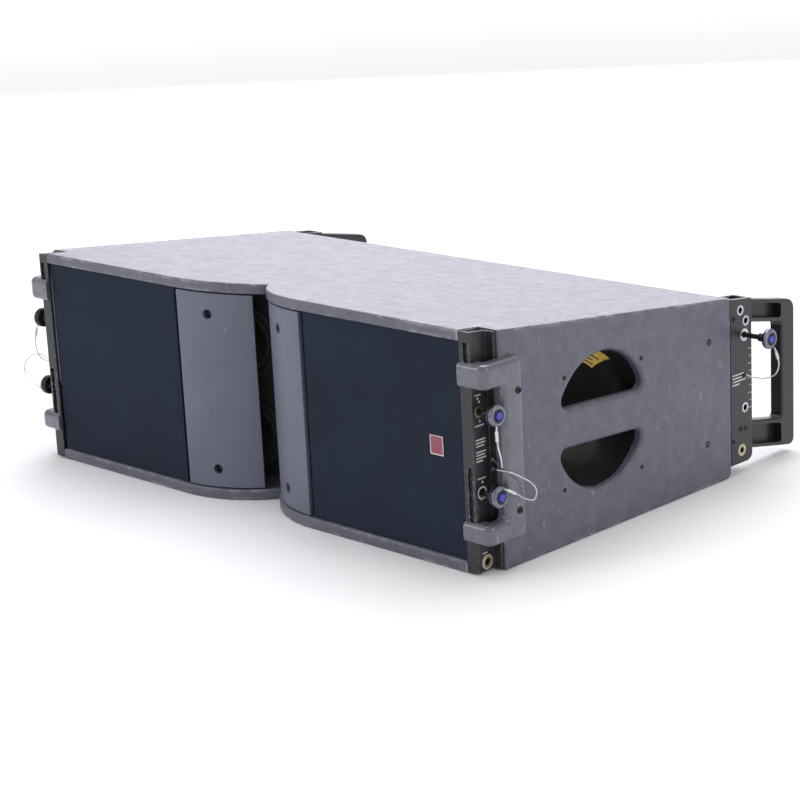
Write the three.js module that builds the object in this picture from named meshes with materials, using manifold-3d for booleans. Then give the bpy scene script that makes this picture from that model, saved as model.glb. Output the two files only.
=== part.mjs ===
// Line array loudspeaker element: a wedge-shaped plywood enclosure with two 12-inch woofers,
// four 5-inch mids behind two adjustable louvers, two compression drivers on waveguides,
// and steel rigging (rails, links, quick-release pins, guards, handles) on both flanks.
// Millimetres, +Z up, front towards -Y, object's right flank towards +X. Bottom rests on z = 0.
import * as THREE from 'three';
import { mergeVertices } from 'three/addons/utils/BufferGeometryUtils.js';
import Module from 'manifold-3d';

const wasm = await Module();
wasm.setup();

// ---------------------------------------------------------------- driving dimensions
const CABINET = { width: 1010, depth: 572, frontHeight: 356, rearHeight: 290, board: 17 };
const GAP = 0.3;                        // clearance between touching pieces
const FRONT = -CABINET.depth / 2;       // y of the front plane
const REAR = CABINET.depth / 2;         // y of the rear plane
const SIDE = CABINET.width / 2;         // x of the outer face of a side panel
const BOARD = CABINET.board;
const SLOPE = (CABINET.frontHeight - CABINET.rearHeight) / CABINET.depth;
const MID_TILT = -Math.atan(SLOPE / 2); // the wedge's centre line, seen from the side

const LOBE = { start: 143, sag: 72 };   // the front curves back from x = start by sag at the centre
LOBE.radius = (LOBE.start ** 2 + LOBE.sag ** 2) / (2 * LOBE.sag);
LOBE.centreY = FRONT + LOBE.radius;
LOBE.sweep = Math.asin(LOBE.start / LOBE.radius);

const LOUVER = { inset: 3, thick: 8, flange: 27, flangeThick: 7, first: 0.016, last: 0.79, clear: 2.2 };
const GRILLE = { recess: 5, thick: 4, inner: 147.5, outer: 467.6 };

const RAIL = {
  inner: 469, web: 482, webThick: 5, notch: 468, frontLip: 490, rearLip: 501, depth: 41, wall: 5,
};
const LINK = { x0: 470, x1: 481, y0: -279.5, y1: -258.5, z0: 125, z1: 322, slotWidth: 9.6, travel: 90 };
const GUARD = { out: 520, front: -292, rear: -211, z0: 48, z1: 311, arm: 37, lowArm: 31, windowRear: -252,
  bevel: 9 };
const PIN = { shank: 4, neck: 6.5, head: 16, button: 6.1 };
const FRONT_PIN = { y: -269, upper: 237, lower: 119, headX: 511, capX: 524, buttonX: 527 };

const WOOFER = { x: 311, z: 175.5, rim: 154, hole: 141, baffleFront: -241, innerEdge: 148 };
const MID = { rim: 64, hole: 54, low: 88, high: 238 };
const MID_BOARD = { outer: [147.5, -240], inner: [38, -161], thick: 15, wallX: 158, wallThick: 12,
  foot: -219 };
const WAVEGUIDE = { low: 90, high: 236, half: 70, mouth: -160, throat: 30 };

const CUP = { y: -23, z: 170, radius: 102, depth: 60, bar: 60, corner: 12, chamfer: 7 };
const CONNECTOR = { halfWidth: 95, z0: 95, z1: 195, plate: 3, spacing: 45, z: 145, hole: 19, flange: 24 };
const REAR_RAIL = { z0: 18, depth: 55, web: 8, inner: 470, flangeEnd: 430, wall: 5, back: 6, corner: 14 };
const REAR_PIN = { y: 321, z: 225, headX: 548, capX: 557, buttonX: 559 };
const ANGLE_BAR = { x0: 478, x1: 494, y0: 306, y1: 331, z0: 62, z1: 268, travel: 80 };
const HANDLE = { y0: 341.3, y1: 463, z0: 31, z1: 277, drop: 0.195, x0: 476, x1: 500, arm: 37, bar: 35 };

const CENTRE_Y = (GUARD.front + HANDLE.y1) / 2; // middle of the whole object, front to rear
const PIN_HOLE = 4.9;                   // radius of a pin's hole in the rails
const EYE_HOLE = 5.2;                   // radius of the hole at the end of a link or an angle bar
const ABOVE = 400;                      // higher than every piece, for solids that a slope then trims
const PAST = 5;                         // how far a cutter runs past the faces it cuts

// ---------------------------------------------------------------- finishes
const finish = (color, roughness, metalness = 0) => ({ color, roughness, metalness });
const FINISH = {
  paint: finish(0x77727f, 0.72), rawBoard: finish(0x8a6a45, 0.8), grille: finish(0x1c222e, 0.6, 0.3),
  louver: finish(0x646978, 0.5), blackSteel: finish(0x17171b, 0.45, 0.7),
  greyCast: finish(0x4a4952, 0.5, 0.3), zinc: finish(0x8f9096, 0.35, 0.9), blue: finish(0x3b45b5, 0.4),
  blackPlastic: finish(0x111114, 0.55),
  cone: finish(0x202022, 0.85), magnet: finish(0x3c3c40, 0.6, 0.4), wire: finish(0xb9bcc2, 0.35, 0.7),
};

// ---------------------------------------------------------------- solid helpers
function toSolid(geometry) {
  const bare = geometry.clone();
  for (const name of Object.keys(bare.attributes)) if (name !== 'position') bare.deleteAttribute(name);
  const merged = mergeVertices(bare, 1e-4);
  return new wasm.Manifold(new wasm.Mesh({
    numProp: 3,
    vertProperties: new Float32Array(merged.attributes.position.array),
    triVerts: new Uint32Array(merged.index.array),
  }));
}

function toGeometry(solid) {
  const mesh = solid.getMesh();
  const geometry = new THREE.BufferGeometry();
  geometry.setAttribute('position', new THREE.BufferAttribute(new Float32Array(mesh.vertProperties), 3));
  geometry.setIndex(new THREE.BufferAttribute(new Uint32Array(mesh.triVerts), 1));
  return geometry;
}

const cut = (base, ...tools) =>
  toGeometry(tools.reduce((solid, tool) => solid.subtract(toSolid(tool)), toSolid(base)));
const join = (base, ...more) =>
  toGeometry(more.reduce((solid, piece) => solid.add(toSolid(piece)), toSolid(base)));
const common = (a, b) => toGeometry(toSolid(a).intersect(toSolid(b)));

function box(x0, x1, y0, y1, z0, z1) {
  const geometry = new THREE.BoxGeometry(x1 - x0, y1 - y0, z1 - z0);
  return geometry.translate((x0 + x1) / 2, (y0 + y1) / 2, (z0 + z1) / 2);
}

function outline(points) {
  return new THREE.Shape(points.map(([a, b]) => new THREE.Vector2(a, b)));
}

/** Plan outline (x, y) raised from z0 to z1. */
function prismZ(shape, z0, z1, curveSegments = 12) {
  const geometry = new THREE.ExtrudeGeometry(shape, { depth: z1 - z0, bevelEnabled: false, curveSegments });
  return geometry.translate(0, 0, z0);
}

const SIDE_VIEW = new THREE.Matrix4().makeBasis(
  new THREE.Vector3(0, 1, 0), new THREE.Vector3(0, 0, 1), new THREE.Vector3(1, 0, 0));

/** Side outline (y, z) carried from x0 to x1, with an optional chamfer that widens it in between. */
function prismX(shape, x0, x1, chamfer = 0, curveSegments = 12) {
  const geometry = new THREE.ExtrudeGeometry(shape, {
    depth: x1 - x0 - 2 * chamfer, bevelEnabled: chamfer > 0, bevelSize: chamfer,
    bevelThickness: chamfer, bevelSegments: 1, curveSegments,
  });
  geometry.translate(0, 0, chamfer);
  return geometry.applyMatrix4(SIDE_VIEW).translate(x0, 0, 0);
}

const UP = new THREE.Vector3(0, 1, 0); // the axis that cylinders and lathes are made along

/** Round bar between two points; sides is the number of its flats. */
function rod(radius, from, to, sides = 16) {
  const a = new THREE.Vector3(...from);
  const b = new THREE.Vector3(...to);
  const axis = b.clone().sub(a);
  const geometry = new THREE.CylinderGeometry(radius, radius, axis.length(), sides);
  const turn = new THREE.Quaternion().setFromUnitVectors(UP, axis.clone().normalize());
  geometry.applyQuaternion(turn);
  const middle = a.add(b).multiplyScalar(0.5);
  return geometry.translate(middle.x, middle.y, middle.z);
}
const rodX = (radius, x0, x1, y, z, sides) => rod(radius, [x0, y, z], [x1, y, z], sides);
const rodY = (radius, x, y0, y1, z, sides) => rod(radius, [x, y0, z], [x, y1, z], sides);

/** Turned piece: profile of [radius, depth] pairs, with depth running along `axis` from `origin`. */
function turned(profile, origin, axis, sides = 24) {
  const points = profile.map(([radius, depth]) => new THREE.Vector2(radius, depth));
  const geometry = new THREE.LatheGeometry(points, sides);
  const turn = new THREE.Quaternion().setFromUnitVectors(UP, new THREE.Vector3(...axis).normalize());
  geometry.applyQuaternion(turn).translate(...origin);
  const solid = toSolid(geometry);
  return solid.volume() < 0 ? toGeometry(toSolid(flip(geometry))) : toGeometry(solid);
}

function flip(geometry) {
  const flipped = geometry.index ? geometry.toNonIndexed() : geometry.clone();
  const p = flipped.attributes.position;
  for (let i = 0; i < p.count; i += 3) {
    for (let k = 0; k < 3; k += 1) {
      const second = p.array[3 * (i + 1) + k];
      p.array[3 * (i + 1) + k] = p.array[3 * (i + 2) + k];
      p.array[3 * (i + 2) + k] = second;
    }
  }
  return flipped;
}

/** Mirror a right-hand piece to the left flank. */
const toLeft = (geometry) => flip(geometry.clone().applyMatrix4(new THREE.Matrix4().makeScale(-1, 1, 1)));

/** Space under a sloping plane that starts at height z on the front plane. */
function underSlope(z) {
  const reach = 400;
  const low = -50;
  const halfLength = 700;
  const side = outline([[-reach, low], [reach, low], [reach, z - SLOPE * (reach - FRONT)],
    [-reach, z - SLOPE * (-reach - FRONT)]]);
  return prismX(side, -halfLength, halfLength);
}
const UNDER_TOP_PANEL = underSlope(CABINET.frontHeight - BOARD - GAP);
const INSIDE_FLOOR = BOARD + GAP;

// ---------------------------------------------------------------- assembly bookkeeping
const assembly = new THREE.Group();
const cabinet = new THREE.Group();
cabinet.position.y = -CENTRE_Y;
assembly.add(cabinet);

function place(name, geometry, look) {
  const mesh = new THREE.Mesh(geometry, new THREE.MeshStandardMaterial(look));
  mesh.name = name;
  cabinet.add(mesh);
}

/** The same piece on both flanks; build returns the right-hand geometry. */
function placePair(name, geometry, look) {
  place(`right_${name}`, geometry, look);
  place(`left_${name}`, toLeft(geometry), look);
}

// ---------------------------------------------------------------- enclosure
/** Point on the right-hand lobe, at an angle from straight ahead, inset from its outer arc. */
function onLobe(angle, inset = 0) {
  const radius = LOBE.radius - inset;
  return [LOBE.start - radius * Math.sin(angle), LOBE.centreY - radius * Math.cos(angle)];
}

function lobeArc(from, to, inset, steps) {
  return Array.from({ length: steps + 1 }, (_, i) => onLobe(from + ((to - from) * i) / steps, inset));
}

/** Plan of the top and bottom panels: two lobes, a crease between them and a notch for each rail. */
function panelPlan() {
  const notchX = RAIL.notch - GAP;
  const notchY = FRONT + RAIL.depth + GAP;
  const edgeX = SIDE - BOARD - GAP;
  const rightHalf = [...lobeArc(LOBE.sweep, 0, 0, 9), [notchX, FRONT], [notchX, notchY], [edgeX, notchY],
    [edgeX, REAR]];
  const leftHalf = rightHalf.slice(1).reverse().map(([x, y]) => [-x, y]);
  return outline([...rightHalf, ...leftHalf]);
}

function buildPanels() {
  const plan = panelPlan();
  place('bottom_panel', prismZ(plan, 0, BOARD), FINISH.paint);
  const top = prismZ(plan, CABINET.frontHeight - BOARD, CABINET.frontHeight);
  const slope = new THREE.Matrix4().set(1, 0, 0, 0, 0, 1, 0, 0, 0, -SLOPE, 1, SLOPE * FRONT, 0, 0, 0, 1);
  place('top_panel', top.applyMatrix4(slope), FINISH.paint);
}

/** Arc of points round (cx, cy), from one angle to another. */
function arcPoints(cx, cy, radius, from, to, steps) {
  return Array.from({ length: steps + 1 }, (_, i) => {
    const angle = from + ((to - from) * i) / steps;
    return [cx + radius * Math.cos(angle), cy + radius * Math.sin(angle)];
  });
}

/** One half-moon grip opening (upper: side = 1, lower: side = -1), cut by the tilted grip bar. */
function halfMoon(side) {
  const { radius, corner } = CUP;
  const flat = CUP.bar / 2;
  const cornerY = Math.sqrt((radius - corner) ** 2 - (flat + corner) ** 2);
  const touch = Math.atan2(flat + corner, cornerY);
  const step = 0.04; // keeps the big arc's end points off the corner arcs' end points
  const points = [
    ...arcPoints(cornerY, flat + corner, corner, -Math.PI / 2, touch, 3),
    ...arcPoints(0, 0, radius, touch + step, Math.PI - touch - step, 16),
    ...arcPoints(-cornerY, flat + corner, corner, Math.PI - touch, Math.PI * 1.5, 3),
  ];
  const [c, s] = [Math.cos(MID_TILT), Math.sin(MID_TILT)];
  const tilted = points.map(([y, z]) => [CUP.y + c * y - s * z * side, CUP.z + s * y + c * z * side]);
  return outline(side > 0 ? tilted : tilted.reverse());
}

function buildSides() {
  const front = FRONT + RAIL.depth + GAP;
  const rearChamfer = 9;
  const profile = outline([[front, 0], [REAR - rearChamfer, 0], [REAR, rearChamfer],
    [REAR, CABINET.rearHeight], [front, CABINET.frontHeight - SLOPE * (front - FRONT)]]);
  const openings = [1, -1].flatMap((side) => [
    prismX(halfMoon(side), SIDE - BOARD - PAST, SIDE + PAST),
    prismX(halfMoon(side), SIDE - CUP.chamfer, SIDE + 30, CUP.chamfer),
  ]);
  placePair('side_panel', cut(prismX(profile, SIDE - BOARD, SIDE), ...openings), FINISH.paint);

  const bowl = [[0, CUP.depth - 2], [CUP.radius - 44, CUP.depth - 3], [CUP.radius - 17, 45],
    [CUP.radius - 2, 24], [CUP.radius, 0], [CUP.radius + 14, 0], [CUP.radius + 14, 3], [CUP.radius + 3, 3],
    [CUP.radius + 1, 26], [CUP.radius - 14, 48], [CUP.radius - 42, CUP.depth], [0, CUP.depth + 1]];
  const cup = turned(bowl, [SIDE - BOARD - GAP, CUP.y, CUP.z], [-1, 0, 0], 22);
  placePair('handle_cup', cup, FINISH.blackPlastic);
}

function buildRear() {
  const { halfWidth, z0, z1, plate, spacing, z, hole, flange } = CONNECTOR;
  const edge = SIDE - BOARD - GAP;
  const panel = common(box(-edge, edge, REAR - BOARD, REAR, INSIDE_FLOOR, ABOVE), UNDER_TOP_PANEL);
  const sides = [-1, 1];
  const bores = sides.map((side) => rodY(hole + 4, side * spacing, REAR - BOARD - PAST, REAR + PAST, z, 20));
  place('rear_panel', cut(panel, ...bores), FINISH.paint);

  const sheet = box(-halfWidth, halfWidth, REAR + GAP, REAR + GAP + plate, z0, z1);
  const holes = sides.map((side) => rodY(hole + 0.5, side * spacing, REAR - PAST, REAR + 2 * PAST, z, 24));
  place('connector_plate', cut(sheet, ...holes), FINISH.blackSteel);

  const socket = [[0, 22], [15.5, 22], [15.5, 0], [flange, 0], [flange, 3], [hole, 3], [hole, 30], [0, 30]];
  for (const [name, side] of [['input_connector', 1], ['link_connector', -1]]) {
    const face = [side * spacing, REAR + 2 * (GAP + plate), z];
    place(name, turned(socket, face, [0, -1, 0], 16), FINISH.blackPlastic);
  }
}

// ---------------------------------------------------------------- acoustic parts
function buildWoofers() {
  const front = WOOFER.baffleFront;
  const board = box(WOOFER.innerEdge, SIDE - BOARD - GAP, front, front + BOARD, INSIDE_FLOOR, ABOVE);
  const hole = rodY(WOOFER.hole, WOOFER.x, front - PAST, front + BOARD + PAST, WOOFER.z, 24);
  placePair('woofer_baffle', cut(common(board, UNDER_TOP_PANEL), hole), FINISH.rawBoard);

  const face = [WOOFER.x, front - 5 - GAP, WOOFER.z];
  const frame = [[0, 120], [92, 120], [92, 80], [131, 20], [139, 8], [139, 5], [WOOFER.rim, 5],
    [WOOFER.rim, 0], [139.7, 0], [139.7, 3], [123, 3], [120, 9], [50, 84], [0, 84]];
  placePair('woofer_frame', turned(frame, face, [0, 1, 0], 22), FINISH.magnet);
  const cone = [[0, 56], [20, 58], [40, 66], [114, 8], [121, 2.6], [139.2, 2.6], [139.2, 0], [133, -3],
    [125, -4], [117, -1], [112, 5], [38, 60], [20, 52], [0, 50]];
  placePair('woofer_cone', turned(cone, face, [0, 1, 0], 22), FINISH.cone);
}

/** Angled boards for the mids and the walls behind them that part the chambers. */
function buildMidHigh() {
  const [ax, ay] = MID_BOARD.outer;
  const [bx, by] = MID_BOARD.inner;
  const length = Math.hypot(ax - bx, ay - by);
  const along = [(ax - bx) / length, (ay - by) / length];
  const forward = [along[1], -along[0]];
  const { wallX, wallThick, foot, thick } = MID_BOARD;
  const baffleBack = WOOFER.baffleFront + BOARD + GAP;
  const wallEnd = REAR - BOARD - GAP;
  const plan = outline([[ax, ay], [ax, baffleBack], [wallX, baffleBack], [wallX, wallEnd],
    [wallX - wallThick, wallEnd], [wallX - wallThick, foot], [ax - 7.5, foot], [bx, by + thick], [bx, by]]);
  const centre = [(ax + bx) / 2, (ay + by) / 2];
  const holes = [MID.low, MID.high].map((z) => rod(MID.hole,
    [centre[0] + forward[0] * 20, centre[1] + forward[1] * 20, z],
    [centre[0] - forward[0] * 30, centre[1] - forward[1] * 30, z], 18));
  const raw = common(prismZ(plan, INSIDE_FLOOR, ABOVE), UNDER_TOP_PANEL);
  placePair('mid_chamber_wall', cut(raw, ...holes), FINISH.rawBoard);

  const driver = [[0, 50], [26, 50], [26, 32], [36, 32], [50, 14], [53, 4], [MID.rim, 4], [MID.rim, 0],
    [56, 0], [52, 3], [46, 1], [16, 20], [0, 16]];
  for (const [level, z] of [['lower', MID.low], ['upper', MID.high]]) {
    const face = [centre[0] + forward[0] * (4 + GAP), centre[1] + forward[1] * (4 + GAP), z];
    placePair(`${level}_mid_driver`, turned(driver, face, [-forward[0], -forward[1], 0], 16), FINISH.cone);
  }
  buildHighDriver('lower', WAVEGUIDE.low);
  buildHighDriver('upper', WAVEGUIDE.high);
}

function buildHighDriver(level, z) {
  const { half, mouth, throat } = WAVEGUIDE;
  const neck = 34;
  const side = outline([[mouth + 9, z - half], [throat - 8, z - neck], [throat - 8, z + neck],
    [mouth + 9, z + half]]);
  const body = prismX(side, -20, 20);
  const flange = box(-37.4, 37.4, mouth, mouth + 10, z - half, z + half);
  const collar = rodY(50, 0, throat - 10, throat, z, 20);
  const slot = box(-9, 9, mouth - PAST, mouth + 70, z - half + 8, z + half - 8);
  place(`${level}_waveguide`, cut(join(body, flange, collar), slot), FINISH.blackPlastic);
  const driver = [[0, 62], [42, 62], [54, 52], [54, 14], [48, 14], [48, 0], [0, 0]];
  place(`${level}_compression_driver`, turned(driver, [0, throat + GAP, z], [0, 1, 0], 18), FINISH.magnet);
}

// ---------------------------------------------------------------- front covers
function buildFront() {
  const face = FRONT + GRILLE.recess;
  const sheet = box(GRILLE.inner, GRILLE.outer, face, face + GRILLE.thick, INSIDE_FLOOR, ABOVE);
  placePair('grille', common(sheet, UNDER_TOP_PANEL), FINISH.grille);

  const { inset, thick, flange, flangeThick, first, last, clear } = LOUVER;
  const nose = last - flangeThick / LOBE.radius;
  const plan = outline([...lobeArc(first, last, inset, 9), onLobe(last, inset + flange),
    onLobe(nose, inset + flange), ...lobeArc(nose, first, inset + thick, 8)]);
  const blade = common(prismZ(plan, BOARD + clear, ABOVE), underSlope(CABINET.frontHeight - BOARD - clear));
  const screwAngle = 0.36;
  const outside = onLobe(screwAngle, -10);
  const inside = onLobe(screwAngle, 25);
  const screwHoles = [BOARD + 32, CABINET.frontHeight - BOARD - 38].map((z) =>
    rod(6.5, [...outside, z], [...inside, z], 14));
  placePair('louver', cut(blade, ...screwHoles), FINISH.louver);
}

// ---------------------------------------------------------------- rigging
function buildFrontRigging() {
  const { inner, web, webThick, frontLip, rearLip, depth, wall } = RAIL;
  const back = FRONT + depth;
  const webOuter = web + webThick;
  const plan = outline([[inner, FRONT], [frontLip, FRONT], [frontLip, FRONT + wall], [webOuter, FRONT + wall],
    [webOuter, back - wall], [rearLip, back - wall], [rearLip, back], [web, back], [web, FRONT + wall],
    [inner, FRONT + wall]]);
  const [cutFrom, cutTo] = [web - PAST, webOuter + PAST];
  const bar = common(prismZ(plan, 2, ABOVE), underSlope(CABINET.frontHeight - 2));
  const holes = [FRONT_PIN.upper, FRONT_PIN.lower].map((z) => rodX(PIN_HOLE, cutFrom, cutTo, FRONT_PIN.y, z));
  const grooves = [[60, 158], [305, 340]].map(([low, high]) =>
    box(frontLip - 13, frontLip - 4, FRONT - PAST, FRONT + 2.6, low, high));
  const footHole = rodX(5.5, cutFrom, cutTo, -264, 15, 18);
  placePair('front_rail', cut(bar, ...holes, ...grooves, footHole), FINISH.blackSteel);
  placePair('front_link', buildLink(), FINISH.zinc);
  buildPin('upper_front_pin', inner - 6, FRONT_PIN.upper, FRONT_PIN);
  buildPin('lower_front_pin', inner - 6, FRONT_PIN.lower, FRONT_PIN);
}

/** Round-ended bar that lifts out of the rail, with the slot that its upper pin runs in. */
function buildLink() {
  const { x0, x1, y0, y1, z0, z1, slotWidth, travel } = LINK;
  const radius = (y1 - y0) / 2;
  const middle = (y0 + y1) / 2;
  const shape = new THREE.Shape();
  shape.absarc(middle, z1 - radius, radius, 0, Math.PI);
  shape.absarc(middle, z0 + radius, radius, Math.PI, Math.PI * 2);
  shape.closePath();
  const slotTop = FRONT_PIN.upper + slotWidth / 2 + 1;
  const slotBottom = slotTop - travel - slotWidth - 2;
  const slot = box(x0 - PAST, x1 + PAST, middle - slotWidth / 2, middle + slotWidth / 2, slotBottom, slotTop);
  const eye = rodX(EYE_HOLE, x0 - PAST, x1 + PAST, middle, z1 - radius);
  return cut(prismX(shape, x0, x1, 0, 8), slot, eye);
}

/** Quick-release pin along X with a blue spring button in its round head. */
function buildPin(name, tipX, z, size) {
  const { shank, neck, head } = PIN;
  const [neckEnd, headEnd] = [size.headX - tipX, size.capX - tipX];
  const neckStart = neckEnd - 14;
  const well = headEnd - 6;
  const wellRadius = PIN.button + 0.7;
  const profile = [[0, 0], [2.8, 0], [shank, 2], [shank, neckStart], [neck, neckStart], [neck, neckEnd],
    [head - 3, neckEnd], [head, neckEnd + 3], [head, headEnd - 3], [head - 3, headEnd], [wellRadius, headEnd],
    [wellRadius, well], [0, well]];
  placePair(name, turned(profile, [tipX, size.y, z], [1, 0, 0], 12), FINISH.zinc);

  const buttonRoot = size.capX - 2.4;
  const buttonTall = size.buttonX - buttonRoot;
  const button = [[0, 0], [PIN.button, 0], [PIN.button, buttonTall - 1], [5, buttonTall], [0, buttonTall]];
  placePair(`${name}_button`, turned(button, [buttonRoot, size.y, z], [1, 0, 0], 10), FINISH.blue);
}

/** Bumper that wraps the front corner: a rear spine and two arms, bevelled all round. */
function buildGuards() {
  const { out, front, rear, z0, z1, arm, lowArm, windowRear, bevel } = GUARD;
  const cover = outline([[front + bevel, z0 + bevel], [rear - bevel, z0 + bevel], [rear - bevel, z1 - bevel],
    [front + bevel, z1 - bevel], [front + bevel, z1 - arm + bevel], [windowRear + bevel, z1 - arm + bevel],
    [windowRear + bevel, z0 + lowArm - bevel], [front + bevel, z0 + lowArm - bevel]]);
  const inboard = RAIL.inner;
  const railLip = RAIL.frontLip + 2 * GAP;
  const room = (outer, from) => box(inboard - PAST, outer, from, 0, -PAST, ABOVE);
  const rooms = [room(railLip, FRONT - GAP), room(RAIL.rearLip + GAP, FRONT + RAIL.wall + 9),
    room(SIDE + GAP, FRONT + RAIL.depth - 1)];
  const body = common(prismX(cover, inboard + 10, out, bevel, 4), box(inboard, out, -ABOVE, 0, 0, ABOVE));
  placePair('corner_guard', cut(body, ...rooms), FINISH.greyCast);
}

function buildRearRigging() {
  const { z0, depth, web, inner, flangeEnd, wall, back, corner } = REAR_RAIL;
  const y0 = REAR + GAP;
  const y1 = REAR + depth;
  const webInner = SIDE - web;
  const plan = outline([[SIDE, y0], [SIDE, y1], [inner, y1], [inner, y0 + wall], [flangeEnd, y0 + wall],
    [flangeEnd, y0], [inner + wall, y0], [inner + wall, y1 - back], [webInner, y1 - back], [webInner, y0]]);
  const side = new THREE.Shape();
  side.moveTo(y0 - PAST, z0);
  side.lineTo(y1 - corner, z0);
  side.absarc(y1 - corner, z0 + corner, corner, -Math.PI / 2, 0);
  side.lineTo(y1, ABOVE);
  side.lineTo(y0 - PAST, ABOVE);
  side.closePath();
  const trimmed = common(prismZ(plan, 0, ABOVE), prismX(side, flangeEnd - PAST, SIDE + PAST, 0, 6));
  const bar = common(trimmed, underSlope(CABINET.frontHeight - 3));
  const webHoles = [[311, 266], [325, 247], [322, 107], [313, 39]].map(([y, z]) =>
    rodX(4.6, webInner - PAST, SIDE + PAST, y, z, 14));
  const pinHole = rodX(PIN_HOLE, inner - PAST, SIDE + PAST, REAR_PIN.y, REAR_PIN.z);
  placePair('rear_rail', cut(bar, ...webHoles, pinHole), FINISH.blackSteel);
  placePair('rear_angle_bar', buildAngleBar(), FINISH.zinc);
  buildPin('rear_pin', inner - 6, REAR_PIN.z, REAR_PIN);
  buildRearHandle();
}

/** Flat bar that lifts out of the rear rail and sets the splay angle to the element above. */
function buildAngleBar() {
  const { x0, x1, y0, y1, z0, z1, travel } = ANGLE_BAR;
  const slotHalf = 5;
  const slotTop = REAR_PIN.z + slotHalf + 1;
  const slotBottom = slotTop - travel - 2 * slotHalf - 2;
  const slot = box(x0 - PAST, x1 + PAST, REAR_PIN.y - slotHalf, REAR_PIN.y + slotHalf, slotBottom, slotTop);
  const eye = rodX(EYE_HOLE, x0 - PAST, x1 + PAST, (y0 + y1) / 2, z1 - 12);
  return cut(box(x0, x1, y0, y1, z0, z1), slot, eye);
}

/** D-shaped carrying handle behind the rear rail; its arms fall slightly towards the rear. */
function buildRearHandle() {
  const { y0, y1, z0, z1, drop, x0, x1, arm, bar } = HANDLE;
  const fall = (y, z) => [y, z - drop * (y - y0)];
  const lowCorner = 14;
  const small = 6;
  const innerY = y1 - bar;
  const [openLow, openHigh] = [z0 + arm + 9, z1 - arm];
  const outer = outline([fall(y0, z0), fall(y1 - lowCorner, z0), fall(y1, z0 + lowCorner), fall(y1, z1 - 5),
    fall(y1 - 5, z1), fall(y0, z1)]);
  const opening = outline([fall(y0 - 20, openLow), fall(innerY - small, openLow),
    fall(innerY, openLow + small), fall(innerY, openHigh - small), fall(innerY - small, openHigh),
    fall(y0 - 20, openHigh)]);
  const pocket = (low, high) => {
    const [near, far] = [y0 + 5, innerY - 2];
    const floor = outline([fall(near, low), fall(far, low), fall(far, high), fall(near, high)]);
    return prismX(floor, x1 - 14, x1 + PAST);
  };
  const body = cut(prismX(outer, x0, x1), prismX(opening, x0 - PAST, x1 + PAST),
    pocket(z0 + 6, z0 + arm + 2), pocket(z1 - arm + 7, z1 - 6));
  const foot = (low, high) => box(x0, x1 - 10, y0, y0 + 6, low, high);
  const handle = join(body, foot(z0 + 4, z0 + arm + 4), foot(z1 - arm + 4, z1 - 6));
  placePair('rear_handle', handle, FINISH.blackPlastic);
}

// ---------------------------------------------------------------- lanyards
const LANYARD = { radius: 1.2, sides: 8, steps: 24 };

// Routes from the anchor in the rail to the pin's head, all written for the right flank.
const LANYARD_ROUTE = {
  upper_front: [
    [495, -253.9, 166], [505, -256.5, 163], [518, -264, 160], [529, -272, 164], [533, -277, 178],
    [531, -280, 196], [528, -279, 212], [525.7, -276, 224],
  ],
  rear: [
    [507.8, 322, 160], [520, 326, 157], [538, 334, 157], [552, 338, 165], [558, 338, 180],
    [559, 333, 196], [558.6, 326, 211],
  ],
};
const LOWER_FRONT_ROUTE = {
  right: [
    [495, -253.9, 152], [508, -256.5, 153], [522, -248, 150], [530, -234, 141], [534, -219, 130],
    [535, -209, 116], [533, -212, 103], [531, -226, 107], [530, -242, 117], [528.5, -256, 126],
    [525.7, -266, 131],
  ],
  left: [
    [495, -253.9, 152], [512, -256.5, 154], [534, -253, 159], [560, -252, 162], [583, -255, 157],
    [596, -259, 144], [596, -262, 129], [583, -264, 117], [564, -265, 112], [545, -267, 108],
    [525.7, -269, 108],
  ],
};

/** Thin steel cable along a route. */
function cable(points) {
  const route = new THREE.CatmullRomCurve3(points.map((p) => new THREE.Vector3(...p)));
  const section = new THREE.Shape();
  section.absarc(0, 0, LANYARD.radius, 0, Math.PI * 2);
  return new THREE.ExtrudeGeometry(section, {
    steps: LANYARD.steps, extrudePath: route, bevelEnabled: false, curveSegments: LANYARD.sides / 2,
  });
}

function buildLanyards() {
  placePair('upper_front_lanyard', cable(LANYARD_ROUTE.upper_front), FINISH.wire);
  placePair('rear_lanyard', cable(LANYARD_ROUTE.rear), FINISH.wire);
  place('right_lower_front_lanyard', cable(LOWER_FRONT_ROUTE.right), FINISH.wire);
  place('left_lower_front_lanyard', toLeft(cable(LOWER_FRONT_ROUTE.left)), FINISH.wire);
}

buildPanels();
buildSides();
buildRear();
buildWoofers();
buildMidHigh();
buildFront();
buildFrontRigging();
buildGuards();
buildRearRigging();
buildLanyards();

export default assembly;
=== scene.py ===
"""Looks of one line array loudspeaker element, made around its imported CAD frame.

The wedge-shaped plywood shell, the cloth-faced grilles, the adjustable louvers, the steel rigging and its
quick-release pins are modelled here with bmesh operators, and every surface gets a procedural finish.
All sizes are in metres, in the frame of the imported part: +Z is up and the front looks towards -Y.
"""

import logging
import math
from dataclasses import dataclass
from enum import Enum
from typing import Callable, Optional, Sequence, Union

import bmesh
import bpy
from mathutils import Matrix, Vector


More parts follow.
